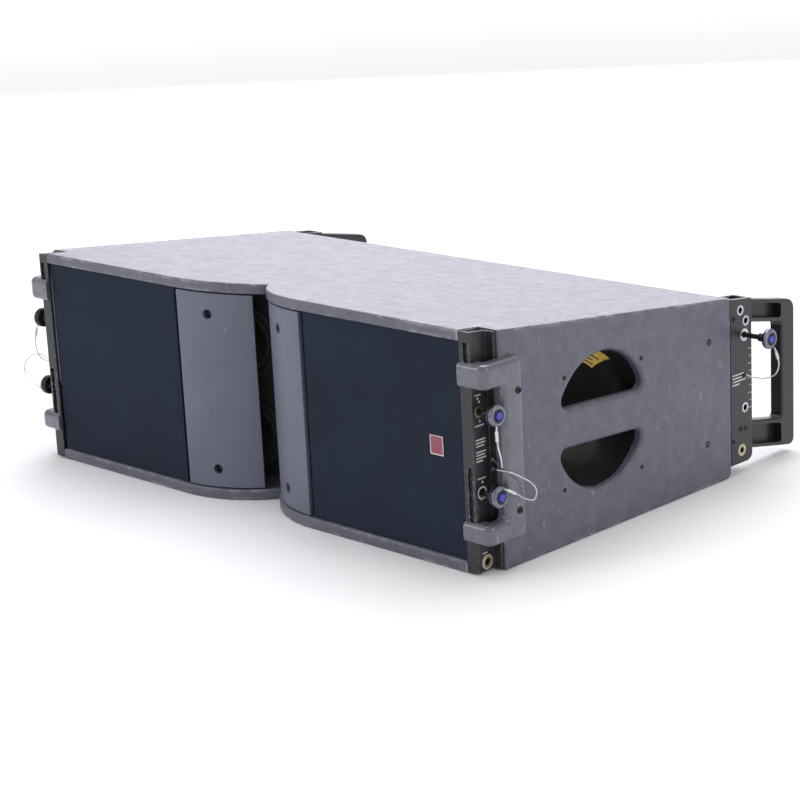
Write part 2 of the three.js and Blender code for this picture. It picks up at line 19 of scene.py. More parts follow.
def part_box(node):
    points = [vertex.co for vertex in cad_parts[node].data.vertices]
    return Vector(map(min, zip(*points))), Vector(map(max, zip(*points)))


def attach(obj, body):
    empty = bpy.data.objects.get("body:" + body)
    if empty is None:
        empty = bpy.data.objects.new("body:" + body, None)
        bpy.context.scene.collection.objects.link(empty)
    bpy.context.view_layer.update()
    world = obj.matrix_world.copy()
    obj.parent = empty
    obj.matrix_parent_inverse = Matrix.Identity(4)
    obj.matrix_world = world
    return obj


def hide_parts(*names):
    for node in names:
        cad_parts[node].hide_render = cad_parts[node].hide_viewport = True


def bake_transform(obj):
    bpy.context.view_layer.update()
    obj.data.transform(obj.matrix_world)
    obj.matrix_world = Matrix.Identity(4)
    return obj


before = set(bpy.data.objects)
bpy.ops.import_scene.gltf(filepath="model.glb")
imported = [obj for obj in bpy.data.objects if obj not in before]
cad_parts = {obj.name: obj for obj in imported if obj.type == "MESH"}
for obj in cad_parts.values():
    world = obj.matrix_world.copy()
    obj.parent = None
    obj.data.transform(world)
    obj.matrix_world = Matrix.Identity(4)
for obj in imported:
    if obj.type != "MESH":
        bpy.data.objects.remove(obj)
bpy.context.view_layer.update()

LOG = logging.getLogger("line_array_element")
MERGE = 1e-6  # vertices nearer than this are one
REACH = 0.01  # how far a cutting tool reaches past what it cuts
CLEAR = 0.0003  # play between two parts that lie side by side
PRINT = 0.00025  # thickness of printed marks

Pair = tuple[float, float]
Triple = tuple[float, float, float]
Colour = tuple[float, float, float]
Input = Union[bpy.types.NodeSocket, float, Sequence[float], None]


# ------------------------------------------------------------------ choices


class Side(Enum):
    """Which flank of the element a piece belongs to; the value is the sign of its x."""

    RIGHT = 1
    LEFT = -1

    @property
    def word(self) -> str:
        """The side's name as the nodes and bodies spell it."""
        return self.name.lower()

    def node(self, name: str) -> str:
        """The name of this side's node or body."""
        return f"{self.word}_{name}"


class Plane(Enum):
    """Plane that an outline is drawn in: its two axes, then the axis that it is raised along."""

    FLOOR = (0, 1, 2)
    FLANK = (1, 2, 0)
    FACE = (0, 2, 1)

    def point(self, u: float, v: float, height: float) -> Vector:
        """The point in space at (u, v) in the plane, at a height along the third axis."""
        place = Vector((0.0, 0.0, 0.0))
        for axis, value in zip(self.value, (u, v, height)):
            place[axis] = value
        return place


# ------------------------------------------------------------------ outlines and solids


class Outline:
    """A closed outline, drawn point by point, with arcs that turn the last point round a centre."""

    def __init__(self, *points: Pair) -> None:
        """Starts at the given points.

        Args:
            points: The first corners, in order.
        """
        self.points: list[Vector] = [Vector(p) for p in points]

    def line(self, *points: Pair) -> "Outline":
        """Adds straight stretches to each of the points, and returns the outline."""
        self.points += [Vector(p) for p in points]
        return self

    def arc(self, centre: Pair, degrees: float, steps: int) -> "Outline":
        """Turns the last point round a centre.

        Args:
            centre: The middle of the arc.
            degrees: How far to turn, anticlockwise when positive.
            steps: Number of straight pieces of the arc.

        Returns:
            The outline itself.
        """
        hub = Vector(centre)
        arm = self.points[-1] - hub
        for i in range(1, steps + 1):
            self.points.append(hub + Matrix.Rotation(math.radians(degrees * i / steps), 2) @ arm)
        return self

    def rounded(self, radius: float, corners: Sequence[int], steps: int = 5) -> "Outline":
        """A copy whose named corners are rounded.

        Args:
            radius: Radius of the corners.
            corners: Which points are rounded.
            steps: Number of straight pieces of each corner.

        Returns:
            A new outline.
        """
        made: list[Vector] = []
        count = len(self.points)
        for i, corner in enumerate(self.points):
            if i not in corners:
                made.append(corner)
                continue
            back = (self.points[i - 1] - corner).normalized()
            ahead = (self.points[(i + 1) % count] - corner).normalized()
            half = back.angle(ahead) / 2
            hub = corner + (back + ahead).normalized() * radius / math.sin(half)
            touch = corner + back * radius / math.tan(half)
            turn = math.copysign(math.pi - 2 * half, back.x * ahead.y - back.y * ahead.x) * -1
            arm = touch - hub
            made += [hub + Matrix.Rotation(turn * k / steps, 2) @ arm for k in range(steps + 1)]
        outline = Outline()
        outline.points = made
        return outline


def stadium(mid: float, half: float, low: float, high: float, steps: int) -> Outline:
    """An upright shape with straight flanks and round ends.

    Args:
        mid: Where its middle line is.
        half: Half its width, which is the radius of its ends.
        low: Height of its lowest point.
        high: Height of its highest point.
        steps: Number of straight pieces of each round end.

    Returns:
        The outline.
    """
    shape = Outline((mid + half, low + half), (mid + half, high - half)).arc((mid, high - half), 180, steps)
    shape.line((mid - half, low + half)).arc((mid, low + half), 180, steps)
    shape.points.pop()
    return shape


def leaning(slope: float, start: float) -> Matrix:
    """A shear that lowers what lies behind a depth, by the slope."""
    lean = Matrix.Identity(4)
    lean[2][1] = -slope
    lean[2][3] = slope * start
    return lean


def middle(edge: bmesh.types.BMEdge) -> Vector:
    """The middle point of an edge."""
    return (edge.verts[0].co + edge.verts[1].co) / 2


class Solid:
    """A closed mesh in the making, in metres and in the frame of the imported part."""

    def __init__(self, bm: bmesh.types.BMesh) -> None:
        """Takes over a bmesh."""
        self.bm = bm

    @classmethod
    def raised(cls, outlines: Union[Outline, Sequence[Outline]], plane: Plane, low: float,
               high: float) -> "Solid":
        """Raises one outline, or several that share edges, into a solid.

        Args:
            outlines: What is raised.
            plane: The plane that the outlines lie in.
            low: Height of the first face along the plane's third axis.
            high: Height of the other face.

        Returns:
            The solid.
        """
        bm = bmesh.new()
        for outline in [outlines] if isinstance(outlines, Outline) else outlines:
            bm.faces.new([bm.verts.new(plane.point(u, v, low)) for u, v in outline.points])
        bmesh.ops.remove_doubles(bm, verts=bm.verts, dist=MERGE)
        grown = bmesh.ops.extrude_face_region(bm, geom=bm.faces[:])["geom"]
        lifted = [item for item in grown if isinstance(item, bmesh.types.BMVert)]
        bmesh.ops.translate(bm, verts=lifted, vec=plane.point(0.0, 0.0, high - low))
        bmesh.ops.recalc_face_normals(bm, faces=bm.faces)
        return cls(bm)

    @classmethod
    def block(cls, low: Triple, high: Triple) -> "Solid":
        """A box between two corners."""
        bm = bmesh.new()
        bmesh.ops.create_cube(bm, size=1.0)
        corner, other = Vector(low), Vector(high)
        bmesh.ops.scale(bm, verts=bm.verts, vec=other - corner)
        bmesh.ops.translate(bm, verts=bm.verts, vec=(corner + other) / 2)
        return cls(bm)

    @classmethod
    def turned(cls, profile: Sequence[Pair], origin: Sequence[float], axis: Sequence[float],
               steps: int = 40, degrees: float = 360.0) -> "Solid":
        """Spins a profile about an axis.

        Args:
            profile: Pairs of radius and distance along the axis, from axis to axis or a closed ring.
            origin: Where the axis starts.
            axis: Its direction.
            steps: Number of steps round.
            degrees: How far round it goes; less than a full turn is closed at both ends.

        Returns:
            The solid.
        """
        whole = degrees > 359.0
        bm = bmesh.new()
        verts = [bm.verts.new((radius, 0.0, depth)) for radius, depth in profile]
        pairs = list(zip(verts, verts[1:]))
        if profile[0][0] > MERGE:
            pairs.append((verts[-1], verts[0]))
        edges = [bm.edges.new(pair) for pair in pairs]
        bmesh.ops.spin(bm, geom=verts + edges, cent=(0, 0, 0), axis=(0, 0, 1), angle=math.radians(degrees),
                       steps=steps, use_merge=whole)
        if not whole:
            bmesh.ops.holes_fill(bm, edges=[edge for edge in bm.edges if edge.is_boundary])
        bmesh.ops.remove_doubles(bm, verts=bm.verts, dist=MERGE)
        bmesh.ops.dissolve_degenerate(bm, edges=bm.edges, dist=MERGE)
        bmesh.ops.recalc_face_normals(bm, faces=bm.faces)
        turn = Vector((0, 0, 1)).rotation_difference(Vector(axis)).to_matrix().to_4x4()
        bmesh.ops.transform(bm, verts=bm.verts, matrix=Matrix.Translation(origin) @ turn)
        return cls(bm)

    @classmethod
    def rod(cls, radius: float, start: Sequence[float], end: Sequence[float],
            sides: int = 32) -> "Solid":
        """A round bar between two points."""
        axis = Vector(end) - Vector(start)
        profile = [(0.0, 0.0), (radius, 0.0), (radius, axis.length), (0.0, axis.length)]
        return cls.turned(profile, start, axis, sides)

    @classmethod
    def bore(cls, radius: float, start: Sequence[float], end: Sequence[float]) -> "Solid":
        """A round tool for a hole between two points; it reaches past both."""
        past = (Vector(end) - Vector(start)).normalized() * REACH
        return cls.rod(radius, Vector(start) - past, Vector(end) + past)

    @classmethod
    def rope(cls, path: Sequence[Vector], radius: float, strands: int = 6, lay: float = 0.014) -> "Solid":
        """A twisted wire rope along a path.

        Args:
            path: Points that the rope follows, close together.
            radius: Outer radius of the rope.
            strands: Number of strands on its outside.
            lay: Length of rope in which a strand goes once round.

        Returns:
            The solid.
        """
        sides = strands * 4
        groove = 0.1
        bm = bmesh.new()
        along = 0.0
        side = Vector((0, 0, 1))
        previous: Optional[list[bmesh.types.BMEdge]] = None
        caps: list[list[bmesh.types.BMVert]] = []
        for i, place in enumerate(path):
            ahead = (path[min(i + 1, len(path) - 1)] - path[max(i - 1, 0)]).normalized()
            side = (side - ahead * side.dot(ahead)).normalized()
            twist = 2 * math.pi * along / lay
            ring = bmesh.ops.create_circle(bm, segments=sides, radius=radius)["verts"]
            for vert in ring:
                turn = math.atan2(vert.co.y, vert.co.x) - twist
                vert.co *= 1 - groove / 2 + groove / 2 * math.cos(strands * turn)
            turned_frame = Matrix((side, ahead.cross(side), ahead)).transposed().to_4x4()
            bmesh.ops.transform(bm, verts=ring, matrix=Matrix.Translation(place) @ turned_frame)
            edges = list({edge for vert in ring for edge in vert.link_edges})
            if previous is not None:
                bmesh.ops.bridge_loops(bm, edges=previous + edges)
            previous = edges
            caps.append(ring)
            if i + 1 < len(path):
                along += (path[i + 1] - place).length
        for ring in (caps[0], caps[-1]):
            bmesh.ops.contextual_create(bm, geom=ring)
        bmesh.ops.recalc_face_normals(bm, faces=bm.faces)
        return cls(bm)

    def copy(self) -> "Solid":
        """A separate copy."""
        return Solid(self.bm.copy())

    def with_solids(self, *others: "Solid") -> "Solid":
        """Adds other solids to this one as loose parts, and returns it."""
        for other in others:
            scratch = bpy.data.meshes.new("scratch")
            other.bm.to_mesh(scratch)
            self.bm.from_mesh(scratch)
            bpy.data.meshes.remove(scratch)
        return self

    def moved(self, matrix: Matrix) -> "Solid":
        """Transforms the solid, keeping its faces outward, and returns it."""
        bmesh.ops.transform(self.bm, verts=self.bm.verts, matrix=matrix)
        if matrix.determinant() < 0:
            bmesh.ops.reverse_faces(self.bm, faces=self.bm.faces)
        return self

    def on(self, side: Side) -> "Solid":
        """A copy on the given side; the solid itself is the right-hand one."""
        return self.copy().moved(Matrix.Scale(side.value, 4, (1, 0, 0)))

    def sliced(self, point: Sequence[float], normal: Sequence[float]) -> "Solid":
        """Cuts off what lies beyond a plane, closes the cut, and returns the solid."""
        everything = self.bm.verts[:] + self.bm.edges[:] + self.bm.faces[:]
        cut = bmesh.ops.bisect_plane(self.bm, geom=everything, plane_co=point, plane_no=normal,
                                     clear_outer=True, dist=MERGE)["geom_cut"]
        rim = [item for item in cut if isinstance(item, bmesh.types.BMEdge)]
        bmesh.ops.contextual_create(self.bm, geom=rim)
        return self

    def carved(self, *tools: "Solid") -> "Solid":
        """Cuts the tools out of the solid, and returns it."""
        objects = []
        for solid in (self, *tools):
            mesh = bpy.data.meshes.new("scratch")
            solid.bm.to_mesh(mesh)
            objects.append(bpy.data.objects.new("scratch", mesh))
            bpy.context.scene.collection.objects.link(objects[-1])
        for tool in objects[1:]:
            modifier = objects[0].modifiers.new("cut", "BOOLEAN")
            modifier.operation = "DIFFERENCE"
            modifier.solver = "EXACT"
            modifier.object = tool
        shown = objects[0].evaluated_get(bpy.context.evaluated_depsgraph_get())
        result = shown.to_mesh()
        self.bm.clear()
        self.bm.from_mesh(result)
        shown.to_mesh_clear()
        for item in objects:
            bpy.data.meshes.remove(item.data)
        bmesh.ops.remove_doubles(self.bm, verts=self.bm.verts, dist=MERGE)
        bmesh.ops.dissolve_degenerate(self.bm, edges=self.bm.edges, dist=MERGE)
        return self

    def softened(self, width: float, segments: int = 3, sharper_than: float = 32.0,
                 where: Optional[Callable[[bmesh.types.BMEdge], bool]] = None,
                 held_back: bool = True) -> "Solid":
        """Rounds the solid's sharp edges.

        Args:
            width: How far the rounding reaches from the edge.
            segments: Number of steps of the rounding.
            sharper_than: Only edges that turn by more than this, in degrees, are rounded.
            where: Says of an edge whether it is wanted; every edge is when left out.
            held_back: Whether a rounding that would run into another one is made smaller.

        Returns:
            The solid itself.
        """
        limit = math.radians(sharper_than)
        chosen = [edge for edge in self.bm.edges if edge.is_manifold
                  and edge.calc_face_angle(0.0) > limit and (where is None or where(edge))]
        bmesh.ops.bevel(self.bm, geom=chosen, offset=width, offset_type="OFFSET", segments=segments,
                        profile=0.5, affect="EDGES", clamp_overlap=held_back, material=-1)
        return self


# ------------------------------------------------------------------ shading


class Shading:
    """Writes nodes into a material's or a group's tree."""

    def __init__(self, tree: bpy.types.NodeTree) -> None:
        """Works on a node tree."""
        self.tree = tree

    def node(self, kind: str, inputs: Optional[dict[Union[str, int], Input]] = None,
             **settings: object) -> bpy.types.Node:
        """Adds a node.

        Args:
            kind: Its type.
            inputs: Values or sockets by the input's name or number.
            settings: Properties of the node itself.

        Returns:
            The node.
        """
        node = self.tree.nodes.new(kind)
        for name, value in settings.items():
            setattr(node, name, value)
        for name, value in (inputs or {}).items():
            self.feed(node.inputs[name], value)
        return node

    def feed(self, socket: bpy.types.NodeSocket, value: Input) -> None:
        """Links a socket into another, or sets the other's own value."""
        if isinstance(value, bpy.types.NodeSocket):
            self.tree.links.new(value, socket)
        elif value is not None:
            socket.default_value = value

    def place(self) -> bpy.types.NodeSocket:
        """The place on the piece, in metres."""
        return self.node("ShaderNodeTexCoord").outputs["Object"]

    def stretched(self, scale: Triple, turn: Triple = (0.0, 0.0, 0.0)) -> bpy.types.NodeSocket:
        """The place on the piece, turned by angles in degrees and then stretched."""
        turned = [math.radians(angle) for angle in turn]
        return self.node("ShaderNodeMapping", {"Vector": self.place(), "Rotation": turned, "Scale": scale},
                         vector_type="POINT").outputs["Vector"]

    def noise(self, scale: Input, detail: float = 3.0, vector: Input = None,
              roughness: float = 0.5) -> bpy.types.NodeSocket:
        """A noise value from 0 to 1."""
        return self.node("ShaderNodeTexNoise", {"Vector": vector or self.place(), "Scale": scale,
                                                "Detail": detail, "Roughness": roughness}).outputs["Fac"]

    def math(self, operation: str, first: Input, second: Input = None) -> bpy.types.NodeSocket:
        """One sum on two values."""
        return self.node("ShaderNodeMath", {0: first, 1: second}, operation=operation).outputs[0]

    def weighed(self, *parts: tuple[Input, float]) -> bpy.types.NodeSocket:
        """The sum of values, each times its own weight."""
        (first, weight), *others = parts
        total = self.math("MULTIPLY", first, weight)
        for value, weight in others:
            total = self.math("ADD", total, self.math("MULTIPLY", value, weight))
        return total

    def bump(self, shader: bpy.types.Node, height: Input, strength: float, distance: float) -> None:
        """Tilts the shader's normal by a height."""
        bump = self.node("ShaderNodeBump", {"Height": height, "Strength": strength, "Distance": distance})
        self.feed(shader.inputs["Normal"], bump.outputs["Normal"])

    def spread(self, value: Input, low: Input, high: Input, to_low: float = 0.0,
               to_high: float = 1.0) -> bpy.types.NodeSocket:
        """Maps low to high onto to_low to to_high, and holds it there beyond."""
        return self.node("ShaderNodeMapRange", {"Value": value, "From Min": low, "From Max": high,
                                                "To Min": to_low, "To Max": to_high}).outputs[0]

    def mixed(self, share: Input, first: Input, second: Input) -> bpy.types.NodeSocket:
        """Mixes two colours."""
        node = self.node("ShaderNodeMix", data_type="RGBA")
        self.feed(node.inputs[0], share)
        for socket, value in ((node.inputs[6], first), (node.inputs[7], second)):
            is_colour = isinstance(value, tuple)
            self.feed(socket, (*value, 1.0) if is_colour else value)
        return node.outputs[2]

    def facing(self, axis: str) -> bpy.types.NodeSocket:
        """How far the surface looks along an axis, from -1 to 1."""
        normal = self.node("ShaderNodeNewGeometry").outputs["Normal"]
        return self.node("ShaderNodeSeparateXYZ", {"Vector": normal}).outputs[axis]


class Effect:
    """A shader node group with named inputs and outputs, built once and placed where it is needed."""

    def __init__(self, name: str, inputs: dict[str, float], outputs: Sequence[str],
                 write: Callable[[Shading, bpy.types.NodeSocket], dict[str, Input]]) -> None:
        """Describes the group; it is built when it is first placed.

        Args:
            name: The group's name.
            inputs: Input names with their usual values.
            outputs: Output names.
            write: Makes the nodes, and returns what each output gets.
        """
        self.name = name
        self.inputs = inputs
        self.outputs = outputs
        self.write = write
        self.tree: Optional[bpy.types.NodeTree] = None

    def build(self) -> bpy.types.NodeTree:
        """Builds the group's tree."""
        tree = bpy.data.node_groups.new(self.name, "ShaderNodeTree")
        for name, value in self.inputs.items():
            socket = tree.interface.new_socket(name=name, in_out="INPUT", socket_type="NodeSocketFloat")
            socket.default_value = value
        for name in self.outputs:
            tree.interface.new_socket(name=name, in_out="OUTPUT", socket_type="NodeSocketFloat")
        shading = Shading(tree)
        made = self.write(shading, shading.node("NodeGroupInput").outputs)
        shading.node("NodeGroupOutput", made)
        return tree

    def placed(self, shading: Shading, **inputs: Input) -> bpy.types.NodeOutputs:
        """Places the group in a material.

        Args:
            shading: Where it goes.
            inputs: Values for its inputs, with _ for a space.

        Returns:
            The outputs of the placed group.
        """
        if self.tree is None:
            self.tree = self.build()
        node = shading.node("ShaderNodeGroup", node_tree=self.tree)
        for name, value in inputs.items():
            shading.feed(node.inputs[name.replace("_", " ").title()], value)
        return node.outputs


def write_edge_wear(shading: Shading, given: bpy.types.NodeOutputs) -> dict[str, Input]:
    """Rubbed edges: where a rounded normal leaves the true one, broken up by noise."""
    rounded = shading.node("ShaderNodeBevel", {"Radius": given["Radius"]}, samples=4).outputs["Normal"]
    true_normal = shading.node("ShaderNodeNewGeometry").outputs["Normal"]
    alike = shading.node("ShaderNodeVectorMath", {0: rounded, 1: true_normal}, operation="DOT_PRODUCT")
    edge = shading.spread(shading.math("SUBTRACT", 1.0, alike.outputs["Value"]), 0.004, 0.09)
    grain = shading.noise(given["Scale"], 5.0, roughness=0.65)
    start = shading.math("SUBTRACT", 1.2, given["Amount"])
    end = shading.math("ADD", start, 0.08)
    return {"Mask": shading.spread(shading.weighed((edge, 0.6), (grain, 0.8)), start, end)}


def write_grain(shading: Shading, given: bpy.types.NodeOutputs) -> dict[str, Input]:
    """Fine bumps of a sprayed, cast or moulded surface, with the tone that goes with them."""
    cells = shading.node("ShaderNodeTexVoronoi", {"Vector": shading.place(), "Scale": given["Scale"],
                                                  "Randomness": 1.0}, feature="SMOOTH_F1").outputs["Distance"]
    fine = shading.noise(shading.math("MULTIPLY", given["Scale"], 1.7), 3.0)
    height = shading.weighed((cells, 0.7), (fine, 0.5))
    return {"Height": height, "Tone": shading.spread(height, 0.3, 0.75)}


def write_scuffs(shading: Shading, given: bpy.types.NodeOutputs) -> dict[str, Input]:
    """Thin drag marks in two directions, gathered in patches."""
    patch = shading.spread(shading.noise(5.0, 2.0), 0.45, 0.62)
    lines = None
    for turn in ((20.0, 35.0, 62.0), (-30.0, 15.0, -24.0)):
        streak = shading.noise(given["Scale"], 4.0, shading.stretched((1.0, 26.0, 5.0), turn), 0.6)
        low = shading.math("SUBTRACT", 0.76, given["Amount"])
        line = shading.spread(streak, low, shading.math("ADD", low, 0.05))
        lines = line if lines is None else shading.math("MAXIMUM", lines, line)
    return {"Mask": shading.math("MULTIPLY", lines, patch)}


def write_dust(shading: Shading, given: bpy.types.NodeOutputs) -> dict[str, Input]:
    """Dust that settles on what looks upward, thinner where hands have wiped it; the same mask also paints
    the light that falls on upward faces.
    """
    upward = shading.spread(shading.facing("Z"), 0.55, 0.98)
    cloud = shading.spread(shading.noise(38.0, 6.0, roughness=0.75), 0.28, 0.72)
    return {"Mask": shading.math("MULTIPLY", shading.math("MULTIPLY", upward, cloud), given["Amount"])}


def write_chips(shading: Shading, given: bpy.types.NodeOutputs) -> dict[str, Input]:
    """Small nicks, gathered in patches."""
    patch = shading.spread(shading.noise(7.0, 2.0), 0.5, 0.6)
    dots = shading.node("ShaderNodeTexVoronoi", {"Vector": shading.place(), "Scale": given["Scale"]})
    pick = shading.node("ShaderNodeSeparateColor", {"Color": dots.outputs["Color"]}).outputs[0]
    size = shading.spread(pick, shading.math("SUBTRACT", 1.0, given["Amount"]), 1.0, 0.0, 0.3)
    ragged = shading.weighed((dots.outputs["Distance"], 1.0), (shading.noise(900.0), 0.1))
    inside = shading.math("SUBTRACT", shading.math("ADD", size, 0.04), ragged)
    return {"Mask": shading.math("MULTIPLY", shading.spread(inside, 0.0, 0.03), patch)}


EDGE_WEAR = Effect("edge wear", {"Radius": 0.004, "Scale": 60.0, "Amount": 0.2}, ["Mask"], write_edge_wear)
GRAIN = Effect("grain", {"Scale": 500.0}, ["Height", "Tone"], write_grain)
SCUFFS = Effect("scuffs", {"Scale": 9.0, "Amount": 0.1}, ["Mask"], write_scuffs)
# Upward faces made lighter: settled dust, and painted top light on the board paint.
DUST_AND_TOP_LIGHT = Effect("dust", {"Amount": 0.3}, ["Mask"], write_dust)
CHIPS = Effect("chips", {"Scale": 130.0, "Amount": 0.03}, ["Mask"], write_chips)


# ------------------------------------------------------------------ finishes


@dataclass(frozen=True)
class Finish:
    """What a surface is made of. Each kind of finish writes its own nodes."""

    name: str
    slot: str

    def write(self, shading: Shading, shader: bpy.types.Node) -> None:
        """Writes the nodes that feed the shader."""
        raise NotImplementedError

    def material(self) -> bpy.types.Material:
        """The finish's material, made when it is first asked for."""
        made = bpy.data.materials.get(self.name)
        if made is None:
            made = bpy.data.materials.new(self.name)
            made.use_nodes = True
            shader = next(n for n in made.node_tree.nodes if n.type == "BSDF_PRINCIPLED")
            self.write(Shading(made.node_tree), shader)
        return made


@dataclass(frozen=True)
class Coating(Finish):
    """Paint, powder coat, casting or moulded plastic: a grained coat that wears, scuffs and dusts, with
    painted light on upward faces.
    """

    dark: Colour = (0.1, 0.1, 0.1)
    light: Colour = (0.15, 0.15, 0.15)
    mottle: float = 9.0
    roughness: Pair = (0.45, 0.6)
    metallic: float = 0.0
    specular: float = 0.5
    gloss: float = 0.0
    grain: float = 500.0
    depth: float = 0.0005
    bump: float = 0.3
    wear: Colour = (0.4, 0.38, 0.38)
    wear_amount: float = 0.1
    wear_radius: float = 0.004
    wear_scale: float = 60.0
    wear_metallic: float = 0.0
    scuff: Colour = (0.35, 0.34, 0.36)
    scuff_amount: float = 0.06
    dust: Colour = (0.45, 0.44, 0.45)
    dust_amount: float = 0.2
    chip: Colour = (0.7, 0.69, 0.68)
    chip_amount: float = 0.0

    def write(self, shading: Shading, shader: bpy.types.Node) -> None:
        """Layers the coat, its grain, dust with painted top light, scuffs, rubbed edges and nicks."""
        grain = GRAIN.placed(shading, scale=self.grain)
        wear = EDGE_WEAR.placed(shading, radius=self.wear_radius, scale=self.wear_scale,
                                amount=self.wear_amount)["Mask"]
        cloud = shading.noise(self.mottle, 5.0, roughness=0.6)
        tone = shading.weighed((cloud, 0.85), (grain["Tone"], 0.15))
        colour = shading.mixed(shading.spread(tone, 0.3, 0.7), self.dark, self.light)
        # Upward faces mixed towards the dust colour: real dust, and a painted highlight where that colour is
        # light.
        if self.dust_amount:
            colour = shading.mixed(DUST_AND_TOP_LIGHT.placed(shading, amount=self.dust_amount)["Mask"], colour, self.dust)
        if self.scuff_amount:
            marks = SCUFFS.placed(shading, amount=self.scuff_amount)["Mask"]
            colour = shading.mixed(shading.math("MULTIPLY", marks, 0.7), colour, self.scuff)
        colour = shading.mixed(wear, colour, self.wear)
        if self.chip_amount:
            nicks = CHIPS.placed(shading, amount=self.chip_amount)["Mask"]
            colour = shading.mixed(nicks, colour, self.chip)
        shading.feed(shader.inputs["Base Color"], colour)
        low, high = self.roughness
        shading.feed(shader.inputs["Roughness"], shading.spread(cloud, 0.25, 0.75, low, high))
        if self.wear_metallic:
            shading.feed(shader.inputs["Metallic"],
                         shading.spread(wear, 0.0, 1.0, self.metallic, self.wear_metallic))
        else:
            shader.inputs["Metallic"].default_value = self.metallic
        shader.inputs["Specular IOR Level"].default_value = self.specular
        shader.inputs["Coat Weight"].default_value = self.gloss
        shader.inputs["Coat Roughness"].default_value = 0.08
        shading.bump(shader, grain["Height"], self.bump, self.depth)


@dataclass(frozen=True)
class Plating(Finish):
    """Bare or plated metal with fine machining lines, fingerprints and dull spots."""

    dark: Colour = (0.32, 0.33, 0.35)
    light: Colour = (0.62, 0.63, 0.66)
    roughness: Pair = (0.22, 0.42)
    lines: Triple = (30.0, 900.0, 900.0)

    def write(self, shading: Shading, shader: bpy.types.Node) -> None:
        """Layers fine lines over a cloudy metal."""
        cloud = shading.noise(70.0, 5.0, roughness=0.65)
        line = shading.noise(1.0, 2.0, shading.stretched(self.lines))
        tone = shading.weighed((cloud, 0.7), (line, 0.3))
        shading.feed(shader.inputs["Base Color"],
                     shading.mixed(shading.spread(tone, 0.3, 0.68), self.dark, self.light))
        low, high = self.roughness
        shading.feed(shader.inputs["Roughness"], shading.spread(tone, 0.3, 0.7, high, low))
        shader.inputs["Metallic"].default_value = 1.0
        shading.bump(shader, line, 0.15, 0.0002)


@dataclass(frozen=True)
class Cloth(Finish):
    """Acoustic cloth stretched over the perforated grille: a fine plain weave."""

    dark: Colour = (0.007, 0.01, 0.019)
    light: Colour = (0.02, 0.027, 0.046)
    pitch: float = 0.0011

    def write(self, shading: Shading, shader: bpy.types.Node) -> None:
        """Crosses two sets of threads and lets the holes behind show faintly."""
        split = shading.node("ShaderNodeSeparateXYZ", {"Vector": shading.place()})
        turns = 2 * math.pi / self.pitch
        across = shading.math("SINE", shading.math("MULTIPLY", split.outputs["X"], turns))
        upward = shading.math("SINE", shading.math("MULTIPLY", split.outputs["Z"], turns))
        threads = shading.math("MULTIPLY", across, upward)
        behind = shading.node("ShaderNodeTexVoronoi", {"Vector": shading.place(), "Scale": 190.0,
                                                       "Randomness": 0.0}).outputs["Distance"]
        cloud = shading.noise(6.0, 5.0, roughness=0.65)
        fibres = shading.noise(1500.0, 2.0)
        tone = shading.math("ADD", shading.spread(cloud, 0.3, 0.7, 0.0, 0.55),
                            shading.spread(fibres, 0.3, 0.7, 0.0, 0.3))
        tone = shading.math("ADD", tone, shading.spread(behind, 0.0, 0.6, 0.0, 0.15))
        colour = shading.mixed(tone, self.dark, self.light)
        lint = SCUFFS.placed(shading, amount=0.05)["Mask"]
        colour = shading.mixed(shading.math("MULTIPLY", lint, 0.15), colour, (0.25, 0.27, 0.33))
        shading.feed(shader.inputs["Base Color"], colour)
        shading.feed(shader.inputs["Roughness"], shading.spread(cloud, 0.2, 0.8, 0.8, 0.95))
        shader.inputs["Specular IOR Level"].default_value = 0.15
        shader.inputs["Sheen Weight"].default_value = 0.06
        shader.inputs["Sheen Roughness"].default_value = 0.5
        shader.inputs["Sheen Tint"].default_value = (0.35, 0.42, 0.6, 1.0)
        shading.bump(shader, threads, 0.3, 0.0003)


@dataclass(frozen=True)
class Board(Finish):
    """Black-stained birch plywood with its grain and, on cut edges, its layers."""

    dark: Colour = (0.008, 0.008, 0.008)
    light: Colour = (0.018, 0.017, 0.017)

    def write(self, shading: Shading, shader: bpy.types.Node) -> None:
        """Draws long grain and thin layers."""
        grain = shading.noise(4.0, 5.0, shading.stretched((6.0, 60.0, 60.0)), 0.6)
        bands = {"Vector": shading.place(), "Scale": 95.0, "Distortion": 0.6}
        layers = shading.node("ShaderNodeTexWave", bands, bands_direction="Y").outputs["Fac"]
        tone = shading.weighed((grain, 0.8), (layers, 0.2))
        shading.feed(shader.inputs["Base Color"],
                     shading.mixed(shading.spread(tone, 0.3, 0.7), self.dark, self.light))
        shading.feed(shader.inputs["Roughness"], shading.spread(grain, 0.3, 0.7, 0.55, 0.8))
        shading.bump(shader, grain, 0.2, 0.0004)


@dataclass(frozen=True)
class Enamel(Finish):
    """Smooth glossy colour, a little rubbed: buttons, badge tile, labels and printed marks."""

    colour: Colour = (0.5, 0.1, 0.1)
    rubbed: Colour = (0.6, 0.3, 0.3)
    roughness: Pair = (0.25, 0.45)
    wear_radius: float = 0.001

    def write(self, shading: Shading, shader: bpy.types.Node) -> None:
        """Lays rubbed edges and faint dirt over one colour."""
        cloud = shading.noise(160.0, 5.0, roughness=0.65)
        wear = EDGE_WEAR.placed(shading, radius=self.wear_radius, scale=500.0, amount=0.15)["Mask"]
        soiled = tuple(0.6 * channel for channel in self.colour)
        colour = shading.mixed(shading.spread(cloud, 0.35, 0.75), self.colour, soiled)
        shading.feed(shader.inputs["Base Color"], shading.mixed(wear, colour, self.rubbed))
        low, high = self.roughness
        shading.feed(shader.inputs["Roughness"], shading.spread(cloud, 0.3, 0.7, low, high))
